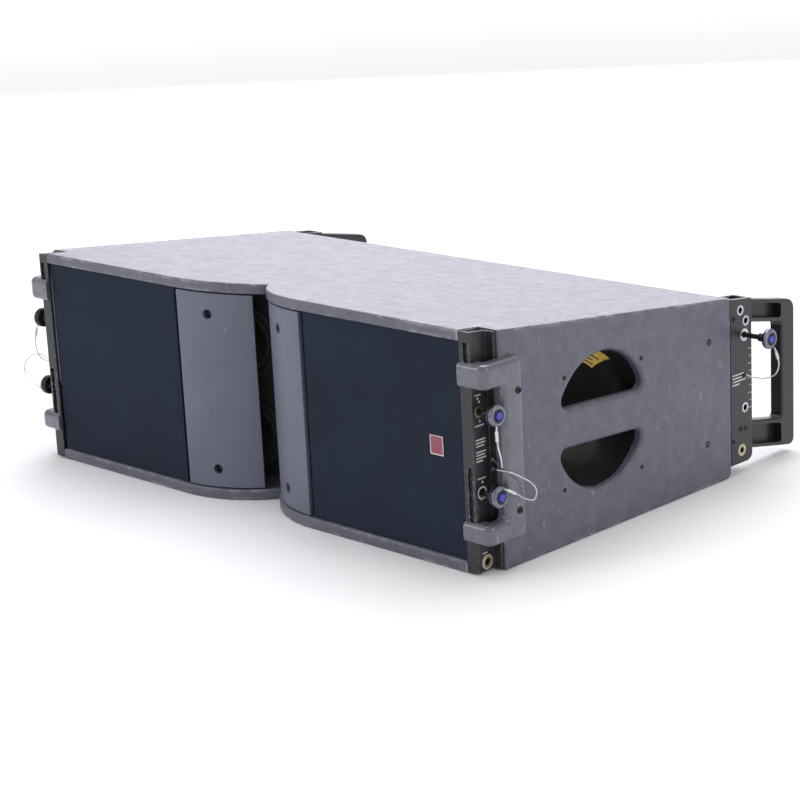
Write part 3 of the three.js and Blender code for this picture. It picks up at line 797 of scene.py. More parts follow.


# The pale lavender dust colour is partly real dust and partly painted light on the lit sloping top.
BOARD_PAINT = Coating(
    "textured board paint", "textured_paint", dark=(0.06, 0.06, 0.087), light=(0.108, 0.108, 0.148),
    mottle=48.0, roughness=(0.36, 0.5), specular=0.65, grain=300.0, depth=0.0012, bump=0.5,
    wear=(0.42, 0.4, 0.41),
    wear_amount=0.2, wear_radius=0.009, wear_scale=31.0, scuff=(0.36, 0.35, 0.4), scuff_amount=0.1,
    dust=(0.4, 0.4, 0.47), dust_amount=0.38, chip=(0.62, 0.61, 0.62), chip_amount=0.03)
STAINED_BOARD = Board("black-stained birch plywood", "bare_plywood")
GRILLE_CLOTH = Cloth("grille cloth over steel", "grille_coat")
LOUVER_SATIN = Coating(
    "satin louver moulding", "louver_grey", dark=(0.083, 0.09, 0.128), light=(0.118, 0.127, 0.175),
    mottle=5.0, roughness=(0.36, 0.5), grain=1500.0, depth=0.0001, bump=0.12, wear=(0.3, 0.31, 0.34),
    wear_amount=0.1,
    wear_radius=0.0025, scuff=(0.28, 0.29, 0.33), scuff_amount=0.07, dust_amount=0.1)
BLACK_STEEL = Coating(
    "black powder-coated steel", "black_steel", dark=(0.01, 0.01, 0.013), light=(0.024, 0.024, 0.03),
    mottle=25.0, roughness=(0.35, 0.5), grain=1100.0, depth=0.0002, bump=0.25, wear=(0.6, 0.6, 0.62),
    wear_amount=0.2, wear_radius=0.0022, wear_scale=180.0, wear_metallic=0.8, scuff=(0.2, 0.2, 0.21),
    scuff_amount=0.09, dust=(0.2, 0.2, 0.21), dust_amount=0.15, chip_amount=0.02)
GREY_CASTING = Coating(
    "grey painted casting", "grey_casting", dark=(0.062, 0.062, 0.082), light=(0.115, 0.115, 0.147),
    mottle=40.0, roughness=(0.2, 0.34), gloss=0.7, grain=700.0, depth=0.0003, bump=0.2, wear=(0.5, 0.5, 0.54),
    wear_amount=0.13, wear_radius=0.008, wear_scale=90.0, wear_metallic=0.6, scuff=(0.4, 0.39, 0.43),
    scuff_amount=0.1, dust_amount=0.12, chip_amount=0.02)
ZINC = Plating("bright zinc plating", "zinc_steel")
PIN_STEEL = Plating("turned pin steel", "zinc_steel", dark=(0.11, 0.11, 0.15), light=(0.27, 0.27, 0.34),
                    roughness=(0.3, 0.5))
WIRE = Plating("stainless wire rope", "lanyard_wire", dark=(0.45, 0.46, 0.48), light=(0.8, 0.81, 0.84))
BRASS = Plating("worn brass ring", "zinc_steel", dark=(0.32, 0.22, 0.09), light=(0.72, 0.58, 0.32))
BLUE_BUTTON = Enamel("blue push button", "blue_button", colour=(0.05, 0.055, 0.4), rubbed=(0.3, 0.32, 0.65))
MOULDED_BLACK = Coating(
    "black moulded plastic", "moulded_black", dark=(0.005, 0.005, 0.006), light=(0.013, 0.013, 0.015),
    mottle=14.0, roughness=(0.3, 0.46), grain=1000.0, depth=0.0002, bump=0.3, wear=(0.09, 0.09, 0.095),
    wear_amount=0.14, wear_radius=0.003, scuff=(0.13, 0.13, 0.14), scuff_amount=0.09,
    dust=(0.2, 0.2, 0.21), dust_amount=0.14)
DRIVER_CASTING = Coating(
    "black driver casting", "cast_frame", dark=(0.018, 0.018, 0.02), light=(0.04, 0.04, 0.043), mottle=30.0,
    grain=800.0, wear_amount=0.1, wear=(0.3, 0.3, 0.3), scuff_amount=0.04)
DRIVER_BLACK = Coating(
    "black mid driver", "driver_black", dark=(0.012, 0.012, 0.013), light=(0.028, 0.028, 0.03), mottle=30.0,
    roughness=(0.5, 0.75), grain=900.0, wear_amount=0.05, scuff_amount=0.0)
CONE_PAPER = Coating(
    "treated cone paper", "paper_cone", dark=(0.016, 0.016, 0.017), light=(0.035, 0.034, 0.034), mottle=60.0,
    roughness=(0.65, 0.85), grain=1400.0, depth=0.0005, bump=0.6, wear_amount=0.0, scuff_amount=0.0)
BADGE_RED = Enamel("red badge tile", "badge_red", colour=(0.3, 0.06, 0.1), rubbed=(0.6, 0.38, 0.42))
BADGE_SILVER = Plating("silver badge frame", "badge_red", dark=(0.35, 0.32, 0.34), light=(0.75, 0.7, 0.72))
LABEL_YELLOW = Enamel("yellow label", "moulded_black", colour=(0.95, 0.66, 0.16), rubbed=(0.95, 0.85, 0.55),
                      roughness=(0.4, 0.6))
PRINT_WHITE = Enamel("pale printing", "black_steel", colour=(0.62, 0.6, 0.58), rubbed=(0.3, 0.3, 0.3),
                     roughness=(0.45, 0.6), wear_radius=0.0004)
PRINT_CREAM = Enamel("cream printing", "black_steel", colour=(0.6, 0.5, 0.32), rubbed=(0.35, 0.3, 0.2),
                     roughness=(0.4, 0.55), wear_radius=0.0004)
SLEEVE_WHITE = Enamel("white crimp sleeve", "lanyard_wire", colour=(0.72, 0.73, 0.76), rubbed=(0.5, 0.5, 0.5),
                      roughness=(0.3, 0.5), wear_radius=0.0008)
SCREW_BLACK = Coating(
    "blackened screw steel", "black_steel", dark=(0.01, 0.01, 0.011), light=(0.03, 0.03, 0.032), mottle=120.0,
    roughness=(0.3, 0.45), metallic=0.6, grain=1200.0, depth=0.0001, wear=(0.4, 0.4, 0.42), wear_amount=0.2,
    wear_radius=0.0008, wear_scale=500.0, wear_metallic=1.0, scuff_amount=0.0, dust_amount=0.05)


def finish_piece(solid: Solid, name: str, finish: Finish, body: Optional[str],
                 stands_for: Sequence[str] = (), smoother_than: float = 40.0) -> bpy.types.Object:
    """Makes a shown piece of a solid: its mesh, finish, body and the CAD nodes that it stands for.

    Args:
        solid: The finished shape, at its place.
        name: The piece's name.
        finish: What it is made of.
        body: The CAD body that it rides on; None for a piece that rides on no body.
        stands_for: CAD nodes that it replaces.
        smoother_than: Edges that turn by less than this, in degrees, are shaded smooth.

    Returns:
        The object.
    """
    mesh = bpy.data.meshes.new(name)
    solid.bm.to_mesh(mesh)
    solid.bm.free()
    mesh.shade_smooth()
    mesh.set_sharp_from_angle(angle=math.radians(smoother_than))
    mesh.materials.append(finish.material())
    piece = bpy.data.objects.new(name, mesh)
    bpy.context.scene.collection.objects.link(piece)
    weighted = piece.modifiers.new("weighted normals", "WEIGHTED_NORMAL")
    weighted.keep_sharp = True
    weighted.weight = 100
    if body is not None:
        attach(piece, body)
    if stands_for:
        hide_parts(*stands_for)
    LOG.info("%s: %d faces, %s, rides on %s", name, len(mesh.polygons), finish.name, body)
    return piece


def dress_node(node: str, finish: Finish) -> None:
    """Gives a CAD node that stays its material."""
    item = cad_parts[node]
    item.data.materials.clear()
    item.data.materials.append(finish.material())
    LOG.info("%s: CAD node, %s", node, finish.name)


# ------------------------------------------------------------------ frame measures


@dataclass(frozen=True)
class Datum:
    """Main planes of the shell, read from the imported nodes."""

    front: float
    rear: float
    side: float
    board: float
    height: float
    slope: float

    @classmethod
    def read(cls) -> "Datum":
        """Reads the planes from the top board, the bottom board and a flank."""
        low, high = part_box("top_panel")
        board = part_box("bottom_panel")[1].z
        slope = (high.z - board - low.z) / (high.y - low.y)
        return cls(low.y, high.y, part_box("right_side_panel")[1].x, board, high.z, slope)

    def top(self, y: float) -> float:
        """Height of the sloping top above the floor at a depth."""
        return self.height - self.slope * (y - self.front)

    def under_top(self, solid: Solid, below: float) -> Solid:
        """Slices a solid off at a plane that runs below the top, and returns it."""
        return solid.sliced((0.0, self.front, self.height - below), (0.0, self.slope, 1.0))


@dataclass(frozen=True)
class Lobe:
    """The curve that the front takes back to the crease in its middle, on the right-hand side."""

    front: float
    start: float = 0.143
    sag: float = 0.072

    @property
    def radius(self) -> float:
        """Radius of the curve."""
        return (self.start ** 2 + self.sag ** 2) / (2 * self.sag)

    @property
    def centre(self) -> Pair:
        """Middle of the curve in plan."""
        return self.start, self.front + self.radius

    @property
    def sweep(self) -> float:
        """Angle from where the curve starts to the crease, in degrees."""
        return math.degrees(math.asin(self.start / self.radius))

    def at(self, angle: float, inset: float = 0.0) -> Pair:
        """Point at an angle in degrees from straight ahead, set back from the curve."""
        arm = self.radius - inset
        turn = math.radians(angle)
        return self.centre[0] - arm * math.sin(turn), self.centre[1] - arm * math.cos(turn)


DATUM = Datum.read()
LOBE = Lobe(DATUM.front)
CONNECTORS = ("input_connector", "link_connector")
OUTWARD = (1, 0, 0)  # away from the middle, on the right-hand side


def centre_of(node: str) -> Vector:
    """Middle of a CAD node's box."""
    low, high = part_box(node)
    return (low + high) / 2


def lies_level(edge: bmesh.types.BMEdge) -> bool:
    """Whether an edge runs more sideways than up."""
    along = edge.verts[1].co - edge.verts[0].co
    return abs(along.z) < 0.5 * along.length


# ------------------------------------------------------------------ shell


@dataclass
class Shell:
    """Plywood shell: bottom and top boards, two flanks with half-moon grips, and the rear board."""

    rounding: float = 0.003
    grip_radius: float = 0.102
    grip_bar: float = 0.06
    grip_corner: float = 0.012
    grip_rounding: float = 0.0075
    foot_corner: float = 0.011
    connector_bore: float = 0.023
    arc_steps: int = 30
    label_rim: Pair = (0.0775, 0.0975)
    label_sector: Pair = (16.0, 43.0)
    label_line_ends: tuple[float, ...] = (40.0, 33.0, 38.0)

    def deck_outline(self) -> Outline:
        """Plan of the top and bottom boards: two lobes, the crease and a notch for each rail."""
        rail_low, rail_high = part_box("right_front_rail")
        notch_x = rail_low.x - 0.0008
        notch_y = rail_high.y + CLEAR
        edge = DATUM.side - DATUM.board
        right = [(notch_x, DATUM.front), (notch_x, notch_y), (edge, notch_y), (edge, DATUM.rear)]
        left = [(-x, y) for x, y in reversed(right)]
        plan = Outline((0.0, DATUM.front + LOBE.sag)).arc(LOBE.centre, LOBE.sweep, self.arc_steps)
        plan.line(*right, *left, (-LOBE.start, DATUM.front))
        plan.arc((-LOBE.start, LOBE.centre[1]), LOBE.sweep, self.arc_steps)
        plan.points.pop()
        return plan

    def build_decks(self) -> None:
        """Makes the bottom board and the sloping top board."""
        crease = DATUM.front + LOBE.sag + 0.001

        def on_rim(edge: bmesh.types.BMEdge) -> bool:
            """Whether an edge belongs to the front or rear rim of a board."""
            place = middle(edge)
            ahead = place.y < crease and abs(place.x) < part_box("right_front_rail")[0].x
            return lies_level(edge) and (ahead or place.y > DATUM.rear - 0.0005)

        bottom = Solid.raised(self.deck_outline(), Plane.FLOOR, 0.0, DATUM.board)
        bottom.softened(self.rounding, 4, where=on_rim)
        finish_piece(bottom, "bottom_board", BOARD_PAINT, "cabinet", ["bottom_panel"])
        top = Solid.raised(self.deck_outline(), Plane.FLOOR, DATUM.height - DATUM.board, DATUM.height)
        top.moved(leaning(DATUM.slope, DATUM.front)).softened(self.rounding, 4, where=on_rim)
        finish_piece(top, "top_board", BOARD_PAINT, "cabinet", ["top_panel"])

    def moon_half(self, across: int, upward: int) -> list[Pair]:
        """Half of a grip opening's edge, from its apex round to the middle of the grip bar.

        Args:
            across: 1 for the half towards the rear, -1 towards the front.
            upward: 1 for the opening above the bar, -1 below.

        Returns:
            Points in y and z, turned with the wedge's centre line.
        """
        reach = self.grip_radius - self.grip_corner
        level = self.grip_bar / 2 + self.grip_corner
        corner = (math.sqrt(reach ** 2 - level ** 2), level)
        touch = math.degrees(math.asin(level / reach))
        half = Outline((0.0, self.grip_radius)).arc((0.0, 0.0), touch - 90, 22)
        half.arc(corner, -touch - 90, 8).line((0.0, self.grip_bar / 2))
        cup = centre_of("right_handle_cup")
        turn = Matrix.Rotation(-math.atan(DATUM.slope / 2), 2)
        placed = [turn @ Vector((across * u, upward * v)) for u, v in half.points]
        return [(cup.y + place.x, cup.z + place.y) for place in placed]

    def flank_half(self, across: int) -> Outline:
        """The part of a flank in front of or behind the line through both grip openings."""
        upper = self.moon_half(across, 1)
        lower = self.moon_half(across, -1)
        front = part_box("right_side_panel")[0].y
        end = DATUM.rear if across > 0 else front
        split = upper[0][0]
        foot = Outline((lower[0][0], 0.0), (end, 0.0), (end, DATUM.top(end)), (split, DATUM.top(split)))
        if across > 0:
            foot = foot.rounded(self.foot_corner, [1])
        foot.line(*upper, *reversed(lower))
        if across < 0:
            foot.points.reverse()
        return foot

    def build_flanks(self) -> None:
        """Makes the two flanks, with deeply rounded grip openings."""
        cup = centre_of("right_handle_cup")
        inner = DATUM.side - DATUM.board
        flank = Solid.raised([self.flank_half(1), self.flank_half(-1)], Plane.FLANK, inner, DATUM.side)

        def at_grip(edge: bmesh.types.BMEdge) -> bool:
            """Whether an edge borders a grip opening."""
            place = middle(edge)
            return math.hypot(place.y - cup.y, place.z - cup.z) < self.grip_radius + 0.001

        def level_with(x: float) -> Callable[[bmesh.types.BMEdge], bool]:
            """Says whether an edge lies wholly in the plane at x."""
            return lambda edge: all(abs(vert.co.x - x) < MERGE for vert in edge.verts)

        outer = level_with(DATUM.side)
        within = level_with(inner)
        flank.softened(self.grip_rounding, 6, where=lambda edge: outer(edge) and at_grip(edge),
                       held_back=False)
        flank.softened(self.rounding, 4, where=lambda edge: outer(edge) and not at_grip(edge))
        flank.softened(self.rounding, 3, where=lambda edge: within(edge) and at_grip(edge))
        for side in Side:
            finish_piece(flank.on(side), side.node("flank_board"), BOARD_PAINT, "cabinet",
                         [side.node("side_panel")])

    def build_rear(self) -> None:
        """Makes the rear board with the bores for the connectors."""
        edge = DATUM.side - DATUM.board
        start = DATUM.rear - DATUM.board
        corners = [(y, DATUM.top(y) - DATUM.board) for y in (DATUM.rear, start)]
        section = Outline((start, DATUM.board), (DATUM.rear, DATUM.board), *corners)
        board = Solid.raised(section, Plane.FLANK, -edge, edge)
        bores = []
        for node in CONNECTORS:
            x, _, z = centre_of(node)
            bores.append(Solid.bore(self.connector_bore, (x, start, z), (x, DATUM.rear, z)))
        finish_piece(board.carved(*bores), "rear_board", BOARD_PAINT, "cabinet", ["rear_panel"])

    def bowl_wall(self) -> list[Pair]:
        """Inner wall of a grip bowl from its middle to its rim, as radius and depth."""
        radius = self.grip_radius
        return [(0.0, 0.058), (radius - 0.05, 0.0575), (radius - 0.032, 0.053), (radius - 0.018, 0.0445),
                (radius - 0.0085, 0.034), (radius - 0.003, 0.021), (radius - 0.0005, 0.008), (radius, 0.0)]

    def label(self, rim: Pair, sector: Pair, lift: float) -> Solid:
        """A thin patch that follows the bowl's wall.

        Args:
            rim: Its smallest and largest radius.
            sector: Where it starts and ends, in degrees from straight up towards the rear.
            lift: How far it stands off the wall.

        Returns:
            The patch on the right-hand side.
        """
        wall = self.bowl_wall()
        course = []
        for step in range(9):
            radius = rim[0] + (rim[1] - rim[0]) * step / 8
            before = max(point for point in wall if point[0] <= radius)
            after = min(point for point in wall if point[0] > radius)
            share = (radius - before[0]) / (after[0] - before[0])
            course.append((radius, before[1] + share * (after[1] - before[1])))
        lifted = [(radius - lift, depth - lift) for radius, depth in reversed(course)]
        cup = centre_of("right_handle_cup")
        origin = Vector((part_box("right_handle_cup")[1].x, cup.y, cup.z))
        patch = Solid.turned(course + lifted, (0, 0, 0), (-1, 0, 0), 16, sector[1] - sector[0])
        return patch.moved(Matrix.Translation(origin) @ Matrix.Rotation(math.radians(-sector[0]), 4, "X"))

    def build_labels(self) -> None:
        """Makes the label in the upper part of each bowl, with plain printed lines."""
        inset, pitch, wide = 0.003, 0.0045, 0.0013
        for side in Side:
            patch = self.label(self.label_rim, self.label_sector, 0.0005)
            finish_piece(patch.on(side), side.node("grip_label"), LABEL_YELLOW, "cabinet")
            lines = []
            for row, end in enumerate(self.label_line_ends):
                start = self.label_rim[0] + inset + pitch * row
                lines.append(self.label((start, start + wide), (19.0, end), 0.0008).on(side))
            finish_piece(gathered(lines), side.node("grip_label_print"), SCREW_BLACK, "cabinet")

    def build_grip_cups(self) -> None:
        """Makes the moulded bowls behind the grip openings, with a rib between the openings."""
        cup = centre_of("right_handle_cup")
        origin = (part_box("right_handle_cup")[1].x, cup.y, cup.z)
        radius = self.grip_radius
        shell = [*self.bowl_wall(), (radius + 0.013, 0.0), (radius + 0.013, 0.003), (radius + 0.003, 0.003),
                 (radius, 0.024), (radius - 0.014, 0.047), (radius - 0.042, 0.06), (0.0, 0.061)]
        bowl = Solid.turned(shell, origin, (-1.0, 0.0, 0.0), 72)
        rib = Solid.block((origin[0] - 0.0585, cup.y - radius + 0.04, cup.z - 0.0025),
                          (origin[0] - 0.054, cup.y + radius - 0.04, cup.z + 0.0025)).softened(0.001, 2)
        for side in Side:
            finish_piece(bowl.on(side).with_solids(rib.on(side)), side.node("grip_bowl"), MOULDED_BLACK,
                         "cabinet", [side.node("handle_cup")])

    def build(self) -> None:
        """Builds the whole shell."""
        self.build_decks()
        self.build_flanks()
        self.build_rear()
        self.build_grip_cups()
        self.build_labels()


# ------------------------------------------------------------------ fixings


class Fixings:
    """Screws, rings and small marks, made once and placed by copying."""

    @staticmethod
    def screw(radius: float, place: Sequence[float], axis: Sequence[float], washer: bool = False) -> Solid:
        """A pan-head screw with a hexagon socket.

        Args:
            radius: Radius of the head.
            place: Where the head meets the surface.
            axis: The way that the head looks.
            washer: Whether a washer lies under it.

        Returns:
            The screw's visible part.
        """
        tall = radius * 0.62
        dome = [(0.0, -radius * 0.5), (radius * 0.6, -radius * 0.5), (radius * 0.6, 0.0), (radius, 0.0),
                (radius, tall * 0.35), (radius * 0.93, tall * 0.65), (radius * 0.78, tall * 0.87),
                (radius * 0.55, tall), (0.0, tall)]
        head = Solid.turned(dome, (0, 0, 0), (0, 0, 1), 28)
        socket = Solid.turned([(0.0, tall * 0.25), (radius * 0.46, tall * 0.25), (radius * 0.46, tall * 2),
                               (0.0, tall * 2)], (0, 0, 0), (0, 0, 1), 6)
        head.carved(socket)
        if washer:
            wide = radius * 1.55
            head.with_solids(Solid.turned([(radius * 0.7, 0.0002), (wide, 0.0002), (wide, radius * 0.14),
                                           (wide * 0.96, radius * 0.2), (radius * 0.7, radius * 0.2)],
                                          (0, 0, 0), (0, 0, 1), 32))
        turn = Vector((0, 0, 1)).rotation_difference(Vector(axis)).to_matrix().to_4x4()
        return head.moved(Matrix.Translation(place) @ turn)

    @staticmethod
    def ring(outer: float, inner: float, thick: float, place: Sequence[float],
             axis: Sequence[float]) -> Solid:
        """A flat ring with a rounded outer edge, lying on a surface."""
        edge = min(thick * 0.4, (outer - inner) * 0.3)
        profile = [(inner, 0.0), (outer, 0.0), (outer, thick - edge), (outer - edge, thick),
                   (inner + edge, thick), (inner, thick - edge)]
        return Solid.turned(profile, place, axis, 36)

    @staticmethod
    def mark(plane: Plane, u: Pair, v: Pair, height: float, thick: float = PRINT) -> Solid:
        """A thin printed rectangle."""
        outline = Outline((u[0], v[0]), (u[1], v[0]), (u[1], v[1]), (u[0], v[1]))
        return Solid.raised(outline, plane, height, height + thick)


def gathered(solids: Sequence[Solid]) -> Solid:
    """Several solids as the loose parts of one."""
    first, *others = solids
    return first.with_solids(*others)


# ------------------------------------------------------------------ front


@dataclass
class FrontFace:
    """What closes the front: two cloth-faced grilles, two curved louvers and the badge."""

    louver_inset: float = 0.003
    louver_thick: float = 0.008
    louver_first: float = 0.9
    louver_last: float = 45.3
    louver_flange: float = 0.027
    flange_thick: float = 0.007
    louver_clear: float = 0.0022
    screw_angle: float = 20.6
    badge_width: float = 0.026
    badge_height: float = 0.029

    def build_grilles(self) -> None:
        """Makes the grilles: a folded steel tray faced with cloth."""
        low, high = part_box("right_grille")
        section = Outline((low.y, low.z), (high.y, low.z), (high.y, DATUM.top(high.y) - DATUM.board - 0.0003),
                          (low.y, DATUM.top(low.y) - DATUM.board - 0.0003))
        tray = Solid.raised(section, Plane.FLANK, low.x, high.x)
        tray.softened(0.0014, 3, where=lambda edge: middle(edge).y < low.y + 0.0003)
        for side in Side:
            finish_piece(tray.on(side), side.node("cloth_grille"), GRILLE_CLOTH, "cabinet",
                         [side.node("grille")])

    def louver_plan(self) -> Outline:
        """Plan of a louver: a curved blade with a flange turned in beside the slot."""
        nose = self.louver_last - math.degrees(self.flange_thick / LOBE.radius)
        steps = 26
        outer = [LOBE.at(self.louver_first + (self.louver_last - self.louver_first) * i / steps,
                         self.louver_inset)
                 for i in range(steps + 1)]
        deep = self.louver_inset + self.louver_flange
        back = self.louver_inset + self.louver_thick
        inner = [LOBE.at(nose + (self.louver_first - nose) * i / steps, back) for i in range(steps + 1)]
        return Outline(*outer, LOBE.at(self.louver_last, deep), LOBE.at(nose, deep), *inner)

    def screw_places(self) -> list[tuple[Vector, Vector]]:
        """Where the louver screws sit on the outer curve, and the way that they look."""
        low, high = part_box("right_louver")
        x, y = LOBE.at(self.screw_angle, self.louver_inset)
        outward = Vector((x - LOBE.centre[0], y - LOBE.centre[1], 0.0)).normalized()
        return [(Vector((x, y, z)), outward) for z in (low.z + 0.0298, high.z - 0.0355)]

    def build_louvers(self) -> None:
        """Makes the louvers with sunk clamp screws; each rides on its own body."""
        low = DATUM.board + self.louver_clear
        blade = Solid.raised(self.louver_plan(), Plane.FLOOR, low, DATUM.height)
        DATUM.under_top(blade, DATUM.board + self.louver_clear)
        nose_x = LOBE.at(self.louver_last)[0] + 0.001
        blade.softened(0.0032, 5, where=lambda edge: not lies_level(edge) and middle(edge).x < nose_x)
        blade.softened(0.0009, 2, sharper_than=50.0)
        tools = []
        for place, outward in self.screw_places():
            sink = [(0.0, 0.003), (0.0078, 0.003), (0.0078, -0.03), (0.0, -0.03)]
            tools.append(Solid.turned(sink, place, outward, 36))
        blade.carved(*tools)
        for side in Side:
            finish_piece(blade.on(side), side.node("louver_blade"), LOUVER_SATIN, side.node("louver_blade"),
                         [side.node("louver")])
            screws = []
            for place, outward in self.screw_places():
                seat = place - outward * 0.0085
                screws.append(Fixings.screw(0.0048, seat, outward, washer=True).on(side))
            finish_piece(gathered(screws), side.node("louver_screws"), SCREW_BLACK, side.node("louver_blade"))

    def build_badge(self) -> None:
        """Makes a plain tile: a silver frame round a red field with a low ridge across it."""
        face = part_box("right_grille")[0].y
        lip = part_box("right_front_rail")[0].x
        x1 = lip - 0.041
        x0 = x1 - self.badge_width
        z0 = centre_of("right_grille").z - 0.013
        z1 = z0 + self.badge_height
        border = 0.0016
        frame_solid = Solid.block((x0, face - 0.0016, z0), (x1, face - 0.0001, z1))
        hollow = Solid.block((x0 + border, face - 0.003, z0 + border),
                             (x1 - border, face - 0.0009, z1 - border))
        finish_piece(frame_solid.carved(hollow).softened(0.0003, 2), "badge_frame", BADGE_SILVER, "cabinet")
        field = Solid.block((x0 + border, face - 0.0013, z0 + border),
                            (x1 - border, face - 0.00085, z1 - border))
        ridge = Solid.block((x0 + 0.005, face - 0.0018, z0 + 0.0095),
                            (x1 - 0.005, face - 0.0012, z0 + 0.0125))
        finish_piece(field.with_solids(ridge.softened(0.0002, 2)), "badge_field", BADGE_RED, "cabinet")

    def build(self) -> None:
        """Builds the whole front."""
        self.build_grilles()
        self.build_louvers()
        self.build_badge()


# ------------------------------------------------------------------ rigging


@dataclass
class FrontRigging:
    """Per flank: the rail at the front corner, its link bar and the cast guard round both."""

    wall: float = 0.005
    lip_step: float = 0.011
    web_step: float = 0.014
    eye_radius: float = 0.0052
    pin_radius: float = 0.0049
    foot_radius: float = 0.0055
    slot_half: float = 0.0048
    travel: float = 0.09
    guard_rounding: float = 0.0085
    guard_corner: float = 0.015
    upper_arm: float = 0.037
    lower_arm: float = 0.031
    window_depth: float = 0.04

    def rail_plan(self) -> Outline:
        """Plan of the rail: a flange in front, the web set back from its lip, and a lip behind."""
        low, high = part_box("right_front_rail")
        lip = high.x - self.lip_step
        web = high.x - self.web_step
        wall = self.wall
        return Outline((low.x, low.y), (lip, low.y), (lip, low.y + wall), (web, low.y + wall),
                       (web, high.y - wall), (high.x, high.y - wall), (high.x, high.y),
                       (web - wall, high.y), (web - wall, low.y + wall), (low.x, low.y + wall))

    def build_rail(self, side: Side) -> None:
        """Makes one rail with its groove, pin holes, rings and printed marks."""
        low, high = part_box("right_front_rail")
        rail = DATUM.under_top(Solid.raised(self.rail_plan(), Plane.FLOOR, low.z, DATUM.height), 0.002)
        rail.softened(0.0011, 3)
        cuts = []
        for pin in ("right_upper_front_pin", "right_lower_front_pin"):
            place = centre_of(pin)
            cuts.append(Solid.bore(self.pin_radius, (low.x, place.y, place.z), (high.x, place.y, place.z)))
        foot = (DATUM.front + 0.022, 0.015)
        cuts.append(Solid.bore(self.foot_radius, (low.x, *foot), (high.x, *foot)))
        lip = high.x - self.lip_step
        for start, end in ((0.06, 0.158), (0.305, 0.34)):
            groove = Outline((lip - 0.013, start), (lip - 0.004, start), (lip - 0.004, end),
                             (lip - 0.013, end))
            cuts.append(Solid.raised(groove.rounded(0.003, range(4), 4), Plane.FACE, low.y - 0.01,
                                     low.y + 0.0042))
        finish_piece(rail.carved(*cuts).on(side), side.node("front_rail_bar"), BLACK_STEEL, "cabinet",
                     [side.node("front_rail")])
        self.build_rail_marks(side, high.x - self.web_step, low.y)

    def build_rail_marks(self, side: Side, web: float, front: float) -> None:
        """Rings round the web's holes, with plain printed bars and dots beside them."""
        upper, lower = (centre_of(pin) for pin in ("right_upper_front_pin", "right_lower_front_pin"))
        brass = [Fixings.ring(0.0088, 0.0051, 0.0007, (web - 0.0001, upper.y, upper.z), OUTWARD),
                 Fixings.ring(0.0092, 0.0056, 0.0007, (web - 0.0001, front + 0.022, 0.015), OUTWARD)]
        finish_piece(gathered(brass).on(side), side.node("rail_brass_rings"), BRASS, "cabinet")
        pale = [Fixings.ring(0.0098, 0.0072, 0.0003, (web, lower.y, lower.z), OUTWARD),
                Fixings.ring(0.0108, 0.0094, 0.0003, (web, front + 0.022, 0.015), OUTWARD)]
        pale += [Fixings.ring(0.0019, 0.0004, 0.0003, (web, upper.y + y, upper.z + z), OUTWARD)
                 for y, z in ((0.001, 0.0145), (0.001, -0.0135), (-0.002, 0.0195), (0.001, -0.1025))]
        rows = (((-0.0075, 0.0045), upper.z + 0.0235), ((-0.009, 0.009), upper.z - 0.0205),
                ((-0.009, 0.011), 0.196), ((-0.009, 0.0105), 0.1915), ((-0.009, 0.008), 0.187),
                ((-0.009, 0.011), 0.1785), ((-0.009, 0.0085), 0.174), ((-0.009, 0.0105), 0.1695),
                ((-0.009, 0.004), 0.165), ((-0.0085, 0.008), lower.z + 0.0205), ((-0.004, 0.005), 0.0285))
        bars = [Fixings.mark(Plane.FLANK, (upper.y + start, upper.y + end), (z, z + 0.0018), web - 0.00005)
                for (start, end), z in rows]
        finish_piece(gathered(pale + bars).on(side), side.node("rail_print"), PRINT_WHITE, "cabinet")

    def build_link(self, side: Side) -> None:
        """Makes the round-ended link bar with its slot and eye."""
        low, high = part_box("right_front_link")
        radius = (high.y - low.y) / 2
        mid = (low.y + high.y) / 2
        bar = stadium(mid, radius, low.z, high.z, 20)
        top = centre_of("right_upper_front_pin").z + self.slot_half + 0.001
        slot = stadium(mid, self.slot_half, top - self.travel - 2 * self.slot_half - 0.002, top, 12)
        cut = Solid.raised(slot, Plane.FLANK, low.x - REACH, high.x + REACH)
        eye = Solid.bore(self.eye_radius, (low.x, mid, high.z - radius), (high.x, mid, high.z - radius))
        link = Solid.raised(bar, Plane.FLANK, low.x, high.x).softened(0.001, 3).carved(cut, eye)
        finish_piece(link.on(side), side.node("link_plate"), ZINC, side.node("link_bar"),
                     [side.node("front_link")])

    def build_guard(self, side: Side) -> None:
        """Makes the cast guard: a C-shaped bumper with generous rounding, hollowed for the rail."""
        low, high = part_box("right_corner_guard")
        rail_low, rail_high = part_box("right_front_rail")
        window = low.y + self.window_depth
        cover = Outline((low.y, low.z), (high.y, low.z), (high.y, high.z), (low.y, high.z),
                        (low.y, high.z - self.upper_arm), (window, high.z - self.upper_arm),
                        (window, low.z + self.lower_arm), (low.y, low.z + self.lower_arm))
        body = Solid.raised(cover, Plane.FLANK, rail_low.x, high.x)

        def at_outer_front(edge: bmesh.types.BMEdge) -> bool:
            """Whether an edge is the upright one where an arm turns from the front to the flank."""
            return all(vert.co.y < low.y + MERGE and vert.co.x > high.x - MERGE for vert in edge.verts)

        body.softened(self.guard_corner, 8, sharper_than=50.0, where=at_outer_front, held_back=False)
        body.softened(self.guard_rounding, 5, sharper_than=50.0, held_back=False,
                      where=lambda edge: middle(edge).x > rail_low.x + 0.004)
        lip = rail_high.x - self.lip_step + 0.0006

        def room(outer: float, start: float) -> Solid:
            """A block to hollow out, from a depth backwards."""
            return Solid.block((rail_low.x - 0.02, start, -0.1), (outer, DATUM.rear, 0.5))

